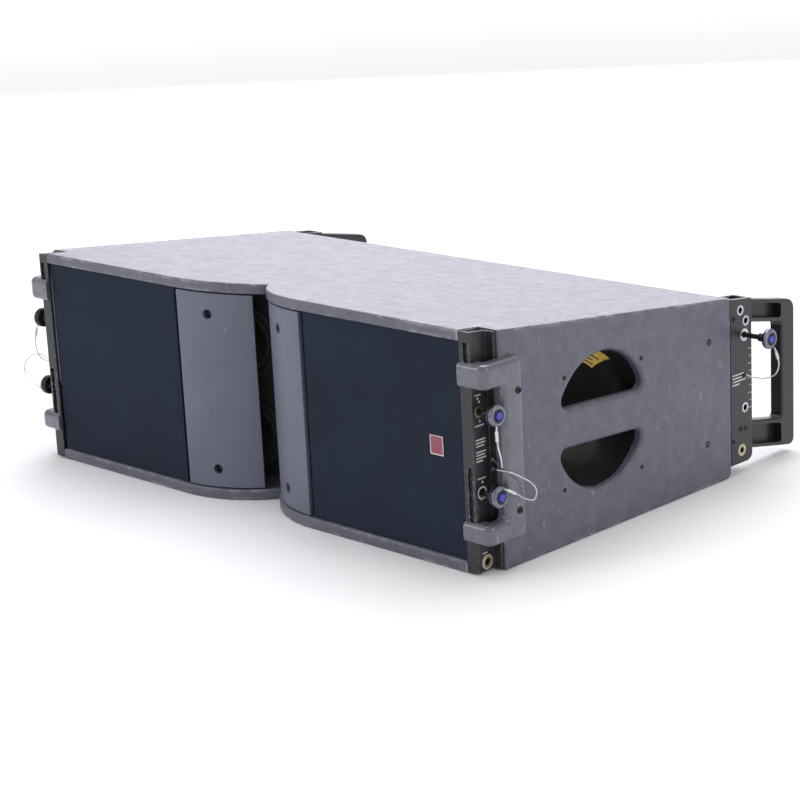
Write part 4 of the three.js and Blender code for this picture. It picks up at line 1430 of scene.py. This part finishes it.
        rooms = (room(lip, DATUM.front - 0.0003), room(rail_high.x + 0.0003, DATUM.front + self.wall + 0.009),
                 room(DATUM.side + 0.0003, rail_high.y - 0.001))
        for tool in rooms:
            body.carved(tool)
        finish_piece(body.on(side), side.node("guard_casting"), GREY_CASTING, "cabinet",
                     [side.node("corner_guard")])
        screws = []
        for y, z in ((DATUM.front + 0.063, 0.263), (DATUM.front + 0.058, 0.089)):
            screws.append(Fixings.screw(0.0052, (high.x - 0.0004, y, z), OUTWARD))
        finish_piece(gathered(screws).on(side), side.node("guard_screws"), SCREW_BLACK, "cabinet")

    def build(self) -> None:
        """Builds the front rigging of both flanks."""
        for side in Side:
            self.build_rail(side)
            self.build_link(side)
            self.build_guard(side)


@dataclass
class RearRigging:
    """Per flank: the rail behind, its angle bar and the D-shaped carrying handle."""

    web: float = 0.008
    inner: float = 0.47
    wall: float = 0.005
    back: float = 0.006
    corner: float = 0.014
    hole: float = 0.0046
    pin_radius: float = 0.0049
    slot_half: float = 0.005
    travel: float = 0.08
    eye_radius: float = 0.0052
    handle_drop: float = 0.195
    handle_arm: float = 0.037
    handle_bar: float = 0.035

    def build_rail(self, side: Side) -> None:
        """Makes one rear rail with its holes."""
        low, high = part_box("right_rear_rail")
        web = high.x - self.web
        plan = Outline((high.x, low.y), (high.x, high.y), (self.inner, high.y),
                       (self.inner, low.y + self.wall),
                       (low.x, low.y + self.wall), (low.x, low.y), (self.inner + self.wall, low.y),
                       (self.inner + self.wall, high.y - self.back), (web, high.y - self.back), (web, low.y))
        rail = DATUM.under_top(Solid.raised(plan, Plane.FLOOR, low.z, DATUM.height), 0.003)
        rail.softened(0.0013, 3, where=lambda edge: not lies_level(edge))
        corner = self.corner
        nib = Outline((high.y - corner, low.z)).arc((high.y - corner, low.z + corner), 90, 10)
        nib.line((high.y + 0.01, low.z + corner), (high.y + 0.01, low.z - 0.01),
                 (high.y - corner, low.z - 0.01))
        cuts = [Solid.raised(nib, Plane.FLANK, low.x - 0.01, high.x + 0.01)]
        pin = centre_of("right_rear_pin")
        cuts.append(Solid.bore(self.pin_radius, (self.inner, pin.y, pin.z), (high.x, pin.y, pin.z)))
        for place in self.web_holes():
            cuts.append(Solid.rod(self.hole, (web - 0.002, *place), (high.x + 0.01, *place)))
        finish_piece(rail.carved(*cuts).on(side), side.node("rear_rail_bar"), BLACK_STEEL, "cabinet",
                     [side.node("rear_rail")])

    @staticmethod
    def web_holes() -> list[Pair]:
        """Where the pin holes of the outer web are, in y and z."""
        rear = DATUM.rear
        return [(rear + 0.025, 0.266), (rear + 0.039, 0.247), (rear + 0.036, 0.107), (rear + 0.027, 0.039)]

    def build_rail_marks(self, side: Side) -> None:
        """Rings, small plugs, a scale of ticks and plain bars on the outer web."""
        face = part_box("right_rear_rail")[1].x
        pin = centre_of("right_rear_pin")
        rings = [Fixings.ring(0.0082, self.hole + 0.0003, 0.0007, (face - 0.0001, *place), OUTWARD)
                 for place in self.web_holes()[:3]]
        rings.append(Fixings.ring(0.0102, 0.0052, 0.0008, (face - 0.0001, pin.y, pin.z), OUTWARD))
        finish_piece(gathered(rings).on(side), side.node("rear_rail_rings"), ZINC, "cabinet")
        foot = self.web_holes()[3]
        foot_ring = Fixings.ring(0.0098, self.hole + 0.0003, 0.0006, (face - 0.0001, *foot), OUTWARD)
        finish_piece(foot_ring.on(side), side.node("rear_rail_foot_ring"), PRINT_CREAM, "cabinet")
        rear = DATUM.rear
        plugs = [Fixings.screw(0.0036, (face - 0.0003, rear + y, z), OUTWARD)
                 for y, z in ((0.009, 0.255), (0.006, 0.057), (0.025, 0.074), (0.038, 0.072))]
        finish_piece(gathered(plugs).on(side), side.node("rear_rail_screws"), SCREW_BLACK, "cabinet")
        bars = []
        for row, (start, end) in enumerate(((0.004, 0.034), (0.004, 0.028), (0.006, 0.038), (0.004, 0.022))):
            z = 0.163 - row * 0.0052
            bars.append(Fixings.mark(Plane.FLANK, (rear + start, rear + end), (z, z + 0.0021), face - 0.0002))
        for step in range(9):
            z = 0.2 - step * 0.012
            wide = 0.008 if step % 2 == 0 else 0.005
            bars.append(Fixings.mark(Plane.FLANK, (rear + 0.0525 - wide, rear + 0.0525), (z, z + 0.0011),
                                     face - 0.0002))
        finish_piece(gathered(bars).on(side), side.node("rear_rail_print"), PRINT_WHITE, "cabinet")

    def build_angle_bar(self, side: Side) -> None:
        """Makes the flat bar that sets the splay angle."""
        low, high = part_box("right_rear_angle_bar")
        pin = centre_of("right_rear_pin")
        top = pin.z + self.slot_half + 0.001
        slot = stadium(pin.y, self.slot_half, top - self.travel - 2 * self.slot_half - 0.002, top, 12)
        cut = Solid.raised(slot, Plane.FLANK, low.x - REACH, high.x + REACH)
        mid, eye_z = (low.y + high.y) / 2, high.z - 0.012
        eye = Solid.bore(self.eye_radius, (low.x, mid, eye_z), (high.x, mid, eye_z))

        def runs_across(edge: bmesh.types.BMEdge) -> bool:
            """Whether an edge runs through the bar's thickness."""
            return abs(edge.verts[1].co.x - edge.verts[0].co.x) > 0.01

        bar = Solid.block(low, high).softened(0.0035, 4, where=runs_across).softened(0.0008, 2)
        finish_piece(bar.carved(cut, eye).on(side), side.node("angle_plate"), ZINC, side.node("angle_bar"),
                     [side.node("rear_angle_bar")])

    def handle_outline(self) -> Outline:
        """Outer edge of the handle before it is sheared downwards to the rear."""
        low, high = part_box("right_rear_handle")
        fall = self.handle_drop * (high.y - low.y)
        base = low.z + fall
        corners = Outline((low.y, base), (high.y, base), (high.y, high.z), (low.y, high.z))
        return corners.rounded(0.014, [1, 2], 8)

    def build_handle(self, side: Side) -> None:
        """Makes the moulded handle, with hollows in its arms, a grip bar and its bolts."""
        low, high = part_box("right_rear_handle")
        base = low.z + self.handle_drop * (high.y - low.y)
        handle = Solid.raised(self.handle_outline(), Plane.FLANK, low.x, high.x)
        inner = high.y - self.handle_bar
        open_low, open_high = base + self.handle_arm + 0.009, high.z - self.handle_arm
        hole = Outline((low.y - 0.02, open_low), (inner, open_low), (inner, open_high),
                       (low.y - 0.02, open_high))
        handle.carved(Solid.raised(hole.rounded(0.008, [1, 2], 6), Plane.FLANK, low.x - 0.01, high.x + 0.01))
        handle.softened(0.0042, 4, where=lambda edge: middle(edge).y > low.y + 0.001)
        near, far = low.y + 0.005, inner - 0.002
        pockets = []
        for start, end in ((base + 0.006, base + self.handle_arm + 0.002),
                           (high.z - self.handle_arm + 0.007, high.z - 0.006)):
            floor = Outline((near, start), (far, start), (far, end), (near, end)).rounded(0.005, range(4), 4)
            pockets.append(Solid.raised(floor, Plane.FLANK, high.x - 0.014, high.x + 0.01))
        handle.carved(*pockets)
        lean = Matrix.Identity(4)
        lean[2][1] = -self.handle_drop
        lean[2][3] = self.handle_drop * low.y
        handle.moved(lean)
        finish_piece(handle.on(side), side.node("carrying_handle"), MOULDED_BLACK, "cabinet",
                     [side.node("rear_handle")])
        bolts = [Fixings.screw(0.0058, (high.x - 0.0139, low.y + 0.017, z - self.handle_drop * 0.017),
                               OUTWARD, True)
                 for z in (base + 0.022, high.z - 0.018)]
        finish_piece(gathered(bolts).on(side), side.node("handle_bolts"), SCREW_BLACK, "cabinet")

    def build(self) -> None:
        """Builds the rear rigging of both flanks."""
        for side in Side:
            self.build_rail(side)
            self.build_rail_marks(side)
            self.build_angle_bar(side)
            self.build_handle(side)


# ------------------------------------------------------------------ pins and lanyards


@dataclass(frozen=True)
class PinSpot:
    """One quick-release pin: the name of its node and of the bodies that it moves with."""

    node: str
    body: str
    lanyard: str


PIN_SPOTS = (PinSpot("upper_front_pin", "upper_pin", "upper_front_lanyard"),
             PinSpot("lower_front_pin", "lower_pin", "lower_front_lanyard"),
             PinSpot("rear_pin", "back_pin", "rear_lanyard"))


@dataclass
class Pins:
    """Quick-release pins: a shank with locking balls, a neck with rings, a knurled head, a button."""

    shank: float = 0.004
    neck: float = 0.0065
    head: float = 0.016
    well: float = 0.0068

    def build_pin(self, spot: PinSpot, side: Side) -> None:
        """Makes one pin and its button."""
        low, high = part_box(f"right_{spot.node}")
        button_low, button_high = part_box(f"right_{spot.node}_button")
        y, z = (low.y + high.y) / 2, (low.z + high.z) / 2
        length = high.x - low.x
        cap = length - (0.013 if spot.node != "rear_pin" else 0.009)
        neck_start = cap - 0.014
        head = self.head
        ridge = self.neck - 0.0008
        profile = [(0.0, 0.0), (0.0026, 0.0), (0.0036, 0.0008), (self.shank, 0.0022),
                   (self.shank, neck_start - 0.001), (self.neck - 0.0006, neck_start),
                   (self.neck, neck_start + 0.0006)]
        for step in range(3):
            start = neck_start + 0.0025 + step * 0.0032
            profile += [(self.neck, start), (ridge, start + 0.0004), (ridge, start + 0.001),
                        (self.neck, start + 0.0014)]
        profile += [(self.neck, cap - 0.0006), (self.neck + 0.0008, cap), (head - 0.003, cap),
                    (head - 0.0012, cap + 0.0009), (head, cap + 0.003), (head, length - 0.003),
                    (head - 0.0006, length - 0.0015), (head - 0.002, length - 0.0004),
                    (head - 0.0035, length), (head - 0.0052, length), (head - 0.0058, length - 0.0007),
                    (self.well + 0.0012, length - 0.0007), (self.well + 0.0003, length - 0.0002),
                    (self.well, length - 0.0008), (self.well, length - 0.006), (0.0, length - 0.006)]
        pin = Solid.turned(profile, (low.x, y, z), OUTWARD, 48)
        balls = []
        for turn in (0.0, math.pi):
            place = Vector((low.x + 0.0055, y + 0.0034 * math.cos(turn), z + 0.0034 * math.sin(turn)))
            balls.append(Solid.turned([(0.0, -0.0012), (0.0007, -0.001), (0.0012, 0.0), (0.0007, 0.001),
                                       (0.0, 0.0012)],
                                      place, (0, 1, 0), 16))
        finish_piece(pin.with_solids(*balls).on(side), side.node(f"{spot.body}_turned"), SCREW_BLACK,
                     side.node(spot.body), [side.node(spot.node)])
        disc = [(self.well + 0.0013, length - 0.0012), (head - 0.0058, length - 0.0012),
                (head - 0.0056, length), (head - 0.0036, length + 0.0002), (head - 0.0019, length - 0.0001),
                (head - 0.0005, length - 0.0013), (head + 0.0001, length - 0.003),
                (head + 0.0001, length - 0.0046), (head - 0.001, length - 0.0046),
                (head - 0.004, length - 0.0022), (self.well + 0.0013, length - 0.002)]
        finish_piece(Solid.turned(disc, (low.x, y, z), OUTWARD, 48).on(side), side.node(f"{spot.body}_face"),
                     PIN_STEEL, side.node(spot.body))
        tall = button_high.x - button_low.x
        wide = 0.0061
        dome = [(0.0, 0.0), (wide, 0.0), (wide, tall - 0.0014), (wide - 0.0005, tall - 0.0006),
                (wide - 0.0014, tall - 0.0001), (wide - 0.0026, tall), (wide - 0.0034, tall - 0.0005),
                (0.0, tall - 0.0005)]
        button = Solid.turned(dome, (button_low.x, y, z), OUTWARD, 40)
        finish_piece(button.on(side), side.node(f"{spot.body}_push_button"), BLUE_BUTTON,
                     side.node(f"{spot.body}_push"), [side.node(f"{spot.node}_button")])

    def build(self) -> None:
        """Builds all the pins."""
        for side in Side:
            for spot in PIN_SPOTS:
                self.build_pin(spot, side)


@dataclass(frozen=True)
class Route:
    """Course of a lanyard from its anchor in the rail to the pin's head, right-hand coordinates."""

    points: tuple[Triple, ...]

    def path(self, side: Side, per_span: int = 9) -> list[Vector]:
        """Points close together along a Catmull-Rom curve through the route, on a side."""
        knots = [Vector((x * side.value, y, z)) for x, y, z in self.points]
        ends = [2 * knots[0] - knots[1], *knots, 2 * knots[-1] - knots[-2]]
        made = []
        for a, b, c, d in zip(ends, ends[1:], ends[2:], ends[3:]):
            for i in range(per_span):
                t = i / per_span
                made.append(0.5 * (2 * b + (c - a) * t + (2 * a - 5 * b + 4 * c - d) * t * t
                                   + (3 * b - a - 3 * c + d) * t ** 3))
        made.append(knots[-1])
        return made


UPPER_ROUTE = Route((
    (0.495, -0.3394, 0.166), (0.505, -0.342, 0.163), (0.518, -0.3495, 0.16), (0.529, -0.3575, 0.164),
    (0.533, -0.3625, 0.178), (0.531, -0.3655, 0.196), (0.528, -0.3645, 0.212), (0.5257, -0.3615, 0.224)))
REAR_ROUTE = Route((
    (0.5078, 0.2365, 0.16), (0.52, 0.2405, 0.157), (0.538, 0.2485, 0.157), (0.552, 0.2525, 0.165),
    (0.558, 0.2525, 0.18), (0.559, 0.2475, 0.196), (0.5586, 0.2405, 0.211)))
LOWER_ROUTES = {
    Side.RIGHT: Route((
        (0.495, -0.3394, 0.152), (0.508, -0.342, 0.153), (0.522, -0.3335, 0.15), (0.53, -0.3195, 0.141),
        (0.534, -0.3045, 0.13), (0.535, -0.2945, 0.116), (0.533, -0.2975, 0.103), (0.531, -0.3115, 0.107),
        (0.53, -0.3275, 0.117), (0.5285, -0.3415, 0.126), (0.5257, -0.3515, 0.131))),
    Side.LEFT: Route((
        (0.495, -0.3394, 0.152), (0.512, -0.342, 0.154), (0.534, -0.3385, 0.159), (0.56, -0.3375, 0.162),
        (0.583, -0.3405, 0.157), (0.596, -0.3445, 0.144), (0.596, -0.3475, 0.129), (0.583, -0.3495, 0.117),
        (0.564, -0.3505, 0.112), (0.545, -0.3525, 0.107), (0.5257, -0.3545, 0.108))),
}


@dataclass
class Lanyards:
    """Thin wire ropes that keep the pins with the element, each with a crimped sleeve at its pin."""

    radius: float = 0.00115
    sleeve_radius: float = 0.0024
    sleeve_length: float = 0.017

    def sleeve(self, path: list[Vector], start: float) -> Solid:
        """A crimped sleeve round the rope.

        Args:
            path: The rope's course.
            start: Distance along the rope where the sleeve begins.

        Returns:
            The sleeve, with two crimp marks.
        """
        along = 0.0
        picked = []
        for here, after in zip(path, path[1:]):
            if start <= along <= start + self.sleeve_length:
                picked.append(here)
            along += (after - here).length
        axis = picked[-1] - picked[0]
        long = axis.length
        full, pressed = self.sleeve_radius, self.sleeve_radius * 0.84
        bore = self.radius * 0.7
        profile = [(bore, 0.0), (full * 0.85, 0.0), (full, long * 0.06), (full, long * 0.24),
                   (pressed, long * 0.3), (pressed, long * 0.4), (full, long * 0.46), (full, long * 0.6),
                   (pressed, long * 0.66), (pressed, long * 0.76), (full, long * 0.82), (full, long * 0.95),
                   (full * 0.85, long), (bore, long)]
        return Solid.turned(profile, picked[0], axis, 24)

    def build_one(self, spot: PinSpot, side: Side, route: Route) -> None:
        """Makes one lanyard with its sleeve and the stud that anchors it."""
        path = route.path(side)
        length = sum((after - here).length for here, after in zip(path, path[1:]))
        body = side.node(spot.body)
        rope = finish_piece(Solid.rope(path, self.radius), side.node(f"{spot.body}_wire"), WIRE, None,
                            [side.node(spot.lanyard)])
        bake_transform(rope)
        close = self.sleeve(path, length - self.sleeve_length - 0.006)
        sleeve = finish_piece(close, side.node(f"{spot.body}_sleeve"), SLEEVE_WHITE, body)
        anchor = path[0]
        into = -1 if spot.node == "rear_pin" else 0
        eye_axis = Vector((into * side.value, 0.0 if into else 1.0, 0.0))
        stud = [(0.0, 0.0045), (0.0026, 0.0045), (0.0026, 0.001), (0.0034, 0.0005), (0.0034, -0.0016),
                (0.0026, -0.0024), (0.0, -0.0026)]
        finish_piece(Solid.turned(stud, anchor, eye_axis, 24), side.node(f"{spot.body}_anchor"), PIN_STEEL,
                     "cabinet")

    def build(self) -> None:
        """Builds the lanyards of both flanks."""
        for side in Side:
            for spot in PIN_SPOTS:
                routes = {"upper_front_pin": UPPER_ROUTE, "rear_pin": REAR_ROUTE}
                route = routes.get(spot.node, LOWER_ROUTES[side])
                self.build_one(spot, side, route)


# ------------------------------------------------------------------ rear plate, flank screws, inside


@dataclass
class RearPlate:
    """The connector plate and its two round connectors."""

    rounding: float = 0.0009
    corner: float = 0.008
    bore: float = 0.0195

    def build_plate(self) -> None:
        """Makes the plate with rounded corners, printed bars and four screws."""
        low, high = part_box("connector_plate")
        outline = Outline((low.x, low.z), (high.x, low.z), (high.x, high.z), (low.x, high.z))
        plate = Solid.raised(outline.rounded(self.corner, range(4), 6), Plane.FACE, low.y, high.y)
        plate.softened(self.rounding, 3, sharper_than=60.0)
        bores = []
        for node in CONNECTORS:
            place = centre_of(node)
            bores.append(Solid.bore(self.bore, (place.x, low.y, place.z), (place.x, high.y, place.z)))
        finish_piece(plate.carved(*bores), "rear_connector_plate", BLACK_STEEL, "cabinet",
                     ["connector_plate"])
        screws = []
        for x in (low.x + 0.009, high.x - 0.009):
            for z in (low.z + 0.009, high.z - 0.009):
                screws.append(Fixings.screw(0.0042, (x, high.y - 0.0002, z), (0, 1, 0), True))
        finish_piece(gathered(screws), "connector_plate_screws", ZINC, "cabinet")
        bars = []
        for node in CONNECTORS:
            place = centre_of(node)
            for row, half in enumerate((0.014, 0.009)):
                z = place.z - 0.032 - row * 0.005
                bars.append(Fixings.mark(Plane.FACE, (place.x - half, place.x + half), (z, z + 0.0018),
                                         high.y - 0.00005))
        finish_piece(gathered(bars), "connector_plate_print", PRINT_WHITE, "cabinet")

    def build_connector(self, node: str, latch: Finish) -> None:
        """Makes one round multi-pole connector: flange, collar with keyways, and contacts."""
        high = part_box(node)[1]
        place = centre_of(node)
        axis = (0.0, 1.0, 0.0)
        origin = (place.x, high.y, place.z)
        shell = [(0.0, -0.022), (0.0148, -0.022), (0.0148, -0.0004), (0.0152, 0.0), (0.0164, 0.0),
                 (0.0168, -0.0006), (0.0172, -0.0011), (0.0225, -0.0011), (0.0236, -0.0014),
                 (0.024, -0.0022), (0.024, -0.003), (0.0188, -0.003), (0.0188, -0.03), (0.0, -0.03)]
        body = Solid.turned(shell, origin, axis, 56)
        keys = []
        for turn in (35.0, 155.0, 275.0):
            angle = math.radians(turn)
            arm = Vector((math.cos(angle), 0.0, math.sin(angle)))
            keys.append(Solid.rod(0.0016, Vector(origin) + arm * 0.0142 - Vector((0, 0.021, 0)),
                                  Vector(origin) + arm * 0.0142 - Vector((0, 0.001, 0)), 12))
        core = Solid.turned([(0.0, -0.0215), (0.0085, -0.0215), (0.0085, -0.0062), (0.0078, -0.0055),
                             (0.0, -0.0055)], origin, axis, 32)
        finish_piece(body.with_solids(*keys, core), f"{node}_shell", MOULDED_BLACK, "cabinet", [node])
        contacts = []
        for i in range(8):
            angle = math.pi * i / 4
            foot = Vector(origin) + Vector((math.cos(angle) * 0.0112, -0.0219, math.sin(angle) * 0.0112))
            contacts.append(Solid.rod(0.0009, foot, foot + Vector((0, 0.012, 0)), 10))
        finish_piece(gathered(contacts), f"{node}_contacts", BRASS, "cabinet")
        tab = Solid.block((place.x - 0.0035, high.y - 0.0012, place.z + 0.0162),
                          (place.x + 0.0035, high.y + 0.0014, place.z + 0.0215)).softened(0.0007, 3)
        finish_piece(tab, f"{node}_latch", latch, "cabinet")

    def build(self) -> None:
        """Builds the plate and both connectors."""
        self.build_plate()
        self.build_connector("input_connector", ZINC)
        self.build_connector("link_connector", BLUE_BUTTON)


@dataclass(frozen=True)
class FlankDetails:
    """Screws and plugs on the flanks, placed from the grip's middle."""

    screws: tuple[Pair, ...] = ((-0.085, 0.082), (0.089, 0.073), (-0.091, -0.085), (0.086, -0.095))
    dimples: tuple[Pair, ...] = ((0.254, 0.062), (0.248, -0.1))

    def build(self) -> None:
        """Builds the details on both flanks."""
        cup = centre_of("right_handle_cup")
        for side in Side:
            heads = [Fixings.screw(0.0036, (DATUM.side - 0.0008, cup.y + y, cup.z + z), OUTWARD)
                     for y, z in self.screws]
            finish_piece(gathered(heads).on(side), side.node("flank_screws"), SCREW_BLACK, "cabinet")
            plugs = [Fixings.ring(0.0058, 0.0016, 0.0006, (DATUM.side - 0.0002, cup.y + y, cup.z + z),
                                  OUTWARD)
                     for y, z in self.dimples]
            finish_piece(gathered(plugs).on(side), side.node("flank_plugs"), SCREW_BLACK, "cabinet")


INSIDE = {
    "woofer_baffle": STAINED_BOARD, "mid_chamber_wall": STAINED_BOARD, "woofer_frame": DRIVER_CASTING,
    "woofer_cone": CONE_PAPER, "lower_mid_driver": DRIVER_BLACK, "upper_mid_driver": DRIVER_BLACK,
}
INSIDE_MIDDLE = {
    "lower_waveguide": MOULDED_BLACK, "upper_waveguide": MOULDED_BLACK,
    "lower_compression_driver": DRIVER_CASTING, "upper_compression_driver": DRIVER_CASTING,
}


def dress_inside() -> None:
    """Gives the parts inside their finishes; their CAD shapes stay."""
    for name, finish in INSIDE.items():
        for side in Side:
            dress_node(side.node(name), finish)
    for name, finish in INSIDE_MIDDLE.items():
        dress_node(name, finish)


# ------------------------------------------------------------------ studio


@dataclass(frozen=True)
class Lamp:
    """A square studio lamp that looks at one point."""

    name: str
    place: Triple
    size: float
    power: float
    aim: Triple = (0.0, 0.0, 0.15)
    colour: Colour = (1.0, 1.0, 1.0)

    def build(self) -> None:
        """Makes the lamp."""
        data = bpy.data.lights.new(self.name, "AREA")
        data.shape = "SQUARE"
        data.size = self.size
        data.energy = self.power
        data.color = self.colour
        lamp = bpy.data.objects.new(self.name, data)
        bpy.context.scene.collection.objects.link(lamp)
        towards = Vector(self.aim) - Vector(self.place)
        turn = towards.to_track_quat("-Z", "Y").to_matrix().to_4x4()
        lamp.matrix_world = Matrix.Translation(self.place) @ turn


@dataclass(frozen=True)
class Studio:
    """Camera, pale floor, a sky that pales to the horizon, and soft lamps."""

    eye: Triple = (2.5418, -2.5308, 1.0972)
    aim: Triple = (0.0593, -0.0855, 0.1218)
    roll: float = -2.917
    lens: float = 100.99
    sky: float = 0.62
    horizon: float = 1.0
    far_glow: float = 0.47
    floor_half: float = 40.0
    lamps: tuple[Lamp, ...] = (
        Lamp("ceiling softbox", (-0.3, 0.6, 3.2), 2.6, 84.0, colour=(0.95, 0.95, 1.0)),
        Lamp("front softbox", (-1.6, -3.4, 2.0), 1.8, 42.0, colour=(0.93, 0.95, 1.0)),
        Lamp("flank softbox", (3.6, -0.2, 1.8), 1.6, 22.0),
        Lamp("rear softbox", (-2.7, 3.0, 1.9), 3.0, 62.0, colour=(0.9, 0.9, 1.0)),
    )

    def build_camera(self) -> None:
        """Makes the camera."""
        data = bpy.data.cameras.new("camera")
        data.lens = self.lens
        data.clip_end = 100.0
        camera = bpy.data.objects.new("camera", data)
        bpy.context.scene.collection.objects.link(camera)
        towards = Vector(self.aim) - Vector(self.eye)
        turn = towards.to_track_quat("-Z", "Y").to_matrix().to_4x4()
        roll = Matrix.Rotation(math.radians(self.roll), 4, "Z")
        camera.matrix_world = Matrix.Translation(self.eye) @ turn @ roll
        bpy.context.scene.camera = camera

    def build_surroundings(self) -> None:
        """Makes the floor, the sky and the lamps."""
        world = bpy.data.worlds.new("even sky")
        world.use_nodes = True
        sky = next(n for n in world.node_tree.nodes if n.type == "BACKGROUND")
        sky.inputs["Color"].default_value = (1.0, 1.0, 1.0, 1.0)
        air = Shading(world.node_tree)
        looking = air.node("ShaderNodeTexCoord").outputs["Generated"]
        upward = air.node("ShaderNodeSeparateXYZ", {"Vector": looking}).outputs["Z"]
        air.feed(sky.inputs["Strength"], air.spread(upward, 0.05, 0.2, self.horizon, self.sky))
        bpy.context.scene.world = world
        bpy.context.scene.view_settings.view_transform = "Standard"
        bm = bmesh.new()
        bmesh.ops.create_grid(bm, x_segments=1, y_segments=1, size=self.floor_half)
        bmesh.ops.translate(bm, verts=bm.verts, vec=(0, 0, -0.0004))
        mesh = bpy.data.meshes.new("floor")
        bm.to_mesh(mesh)
        bm.free()
        pale = bpy.data.materials.new("pale floor")
        pale.use_nodes = True
        shading = Shading(pale.node_tree)
        shader = next(n for n in pale.node_tree.nodes if n.type == "BSDF_PRINCIPLED")
        shading.feed(shader.inputs["Base Color"],
                     shading.mixed(shading.noise(0.6, 2.0), (0.86, 0.86, 0.86), (0.89, 0.89, 0.89)))
        away = shading.node("ShaderNodeVectorMath", {0: shading.place()}, operation="LENGTH").outputs["Value"]
        shader.inputs["Emission Color"].default_value = (1.0, 1.0, 1.0, 1.0)
        shading.feed(shader.inputs["Emission Strength"], shading.spread(away, 1.8, 7.0, 0.0, self.far_glow))
        shader.inputs["Roughness"].default_value = 0.9
        mesh.materials.append(pale)
        floor = bpy.data.objects.new("floor", mesh)
        bpy.context.scene.collection.objects.link(floor)
        for lamp in self.lamps:
            lamp.build()


# ------------------------------------------------------------------ main


def main() -> None:
    """Builds the scene."""
    logging.basicConfig(level=logging.INFO, format="%(message)s")
    studio = Studio()
    studio.build_camera()
    Lanyards().build()
    Shell().build()
    FrontFace().build()
    FrontRigging().build()
    RearRigging().build()
    Pins().build()
    RearPlate().build()
    FlankDetails().build()
    dress_inside()
    studio.build_surroundings()


if __name__ == "__main__":
    main()
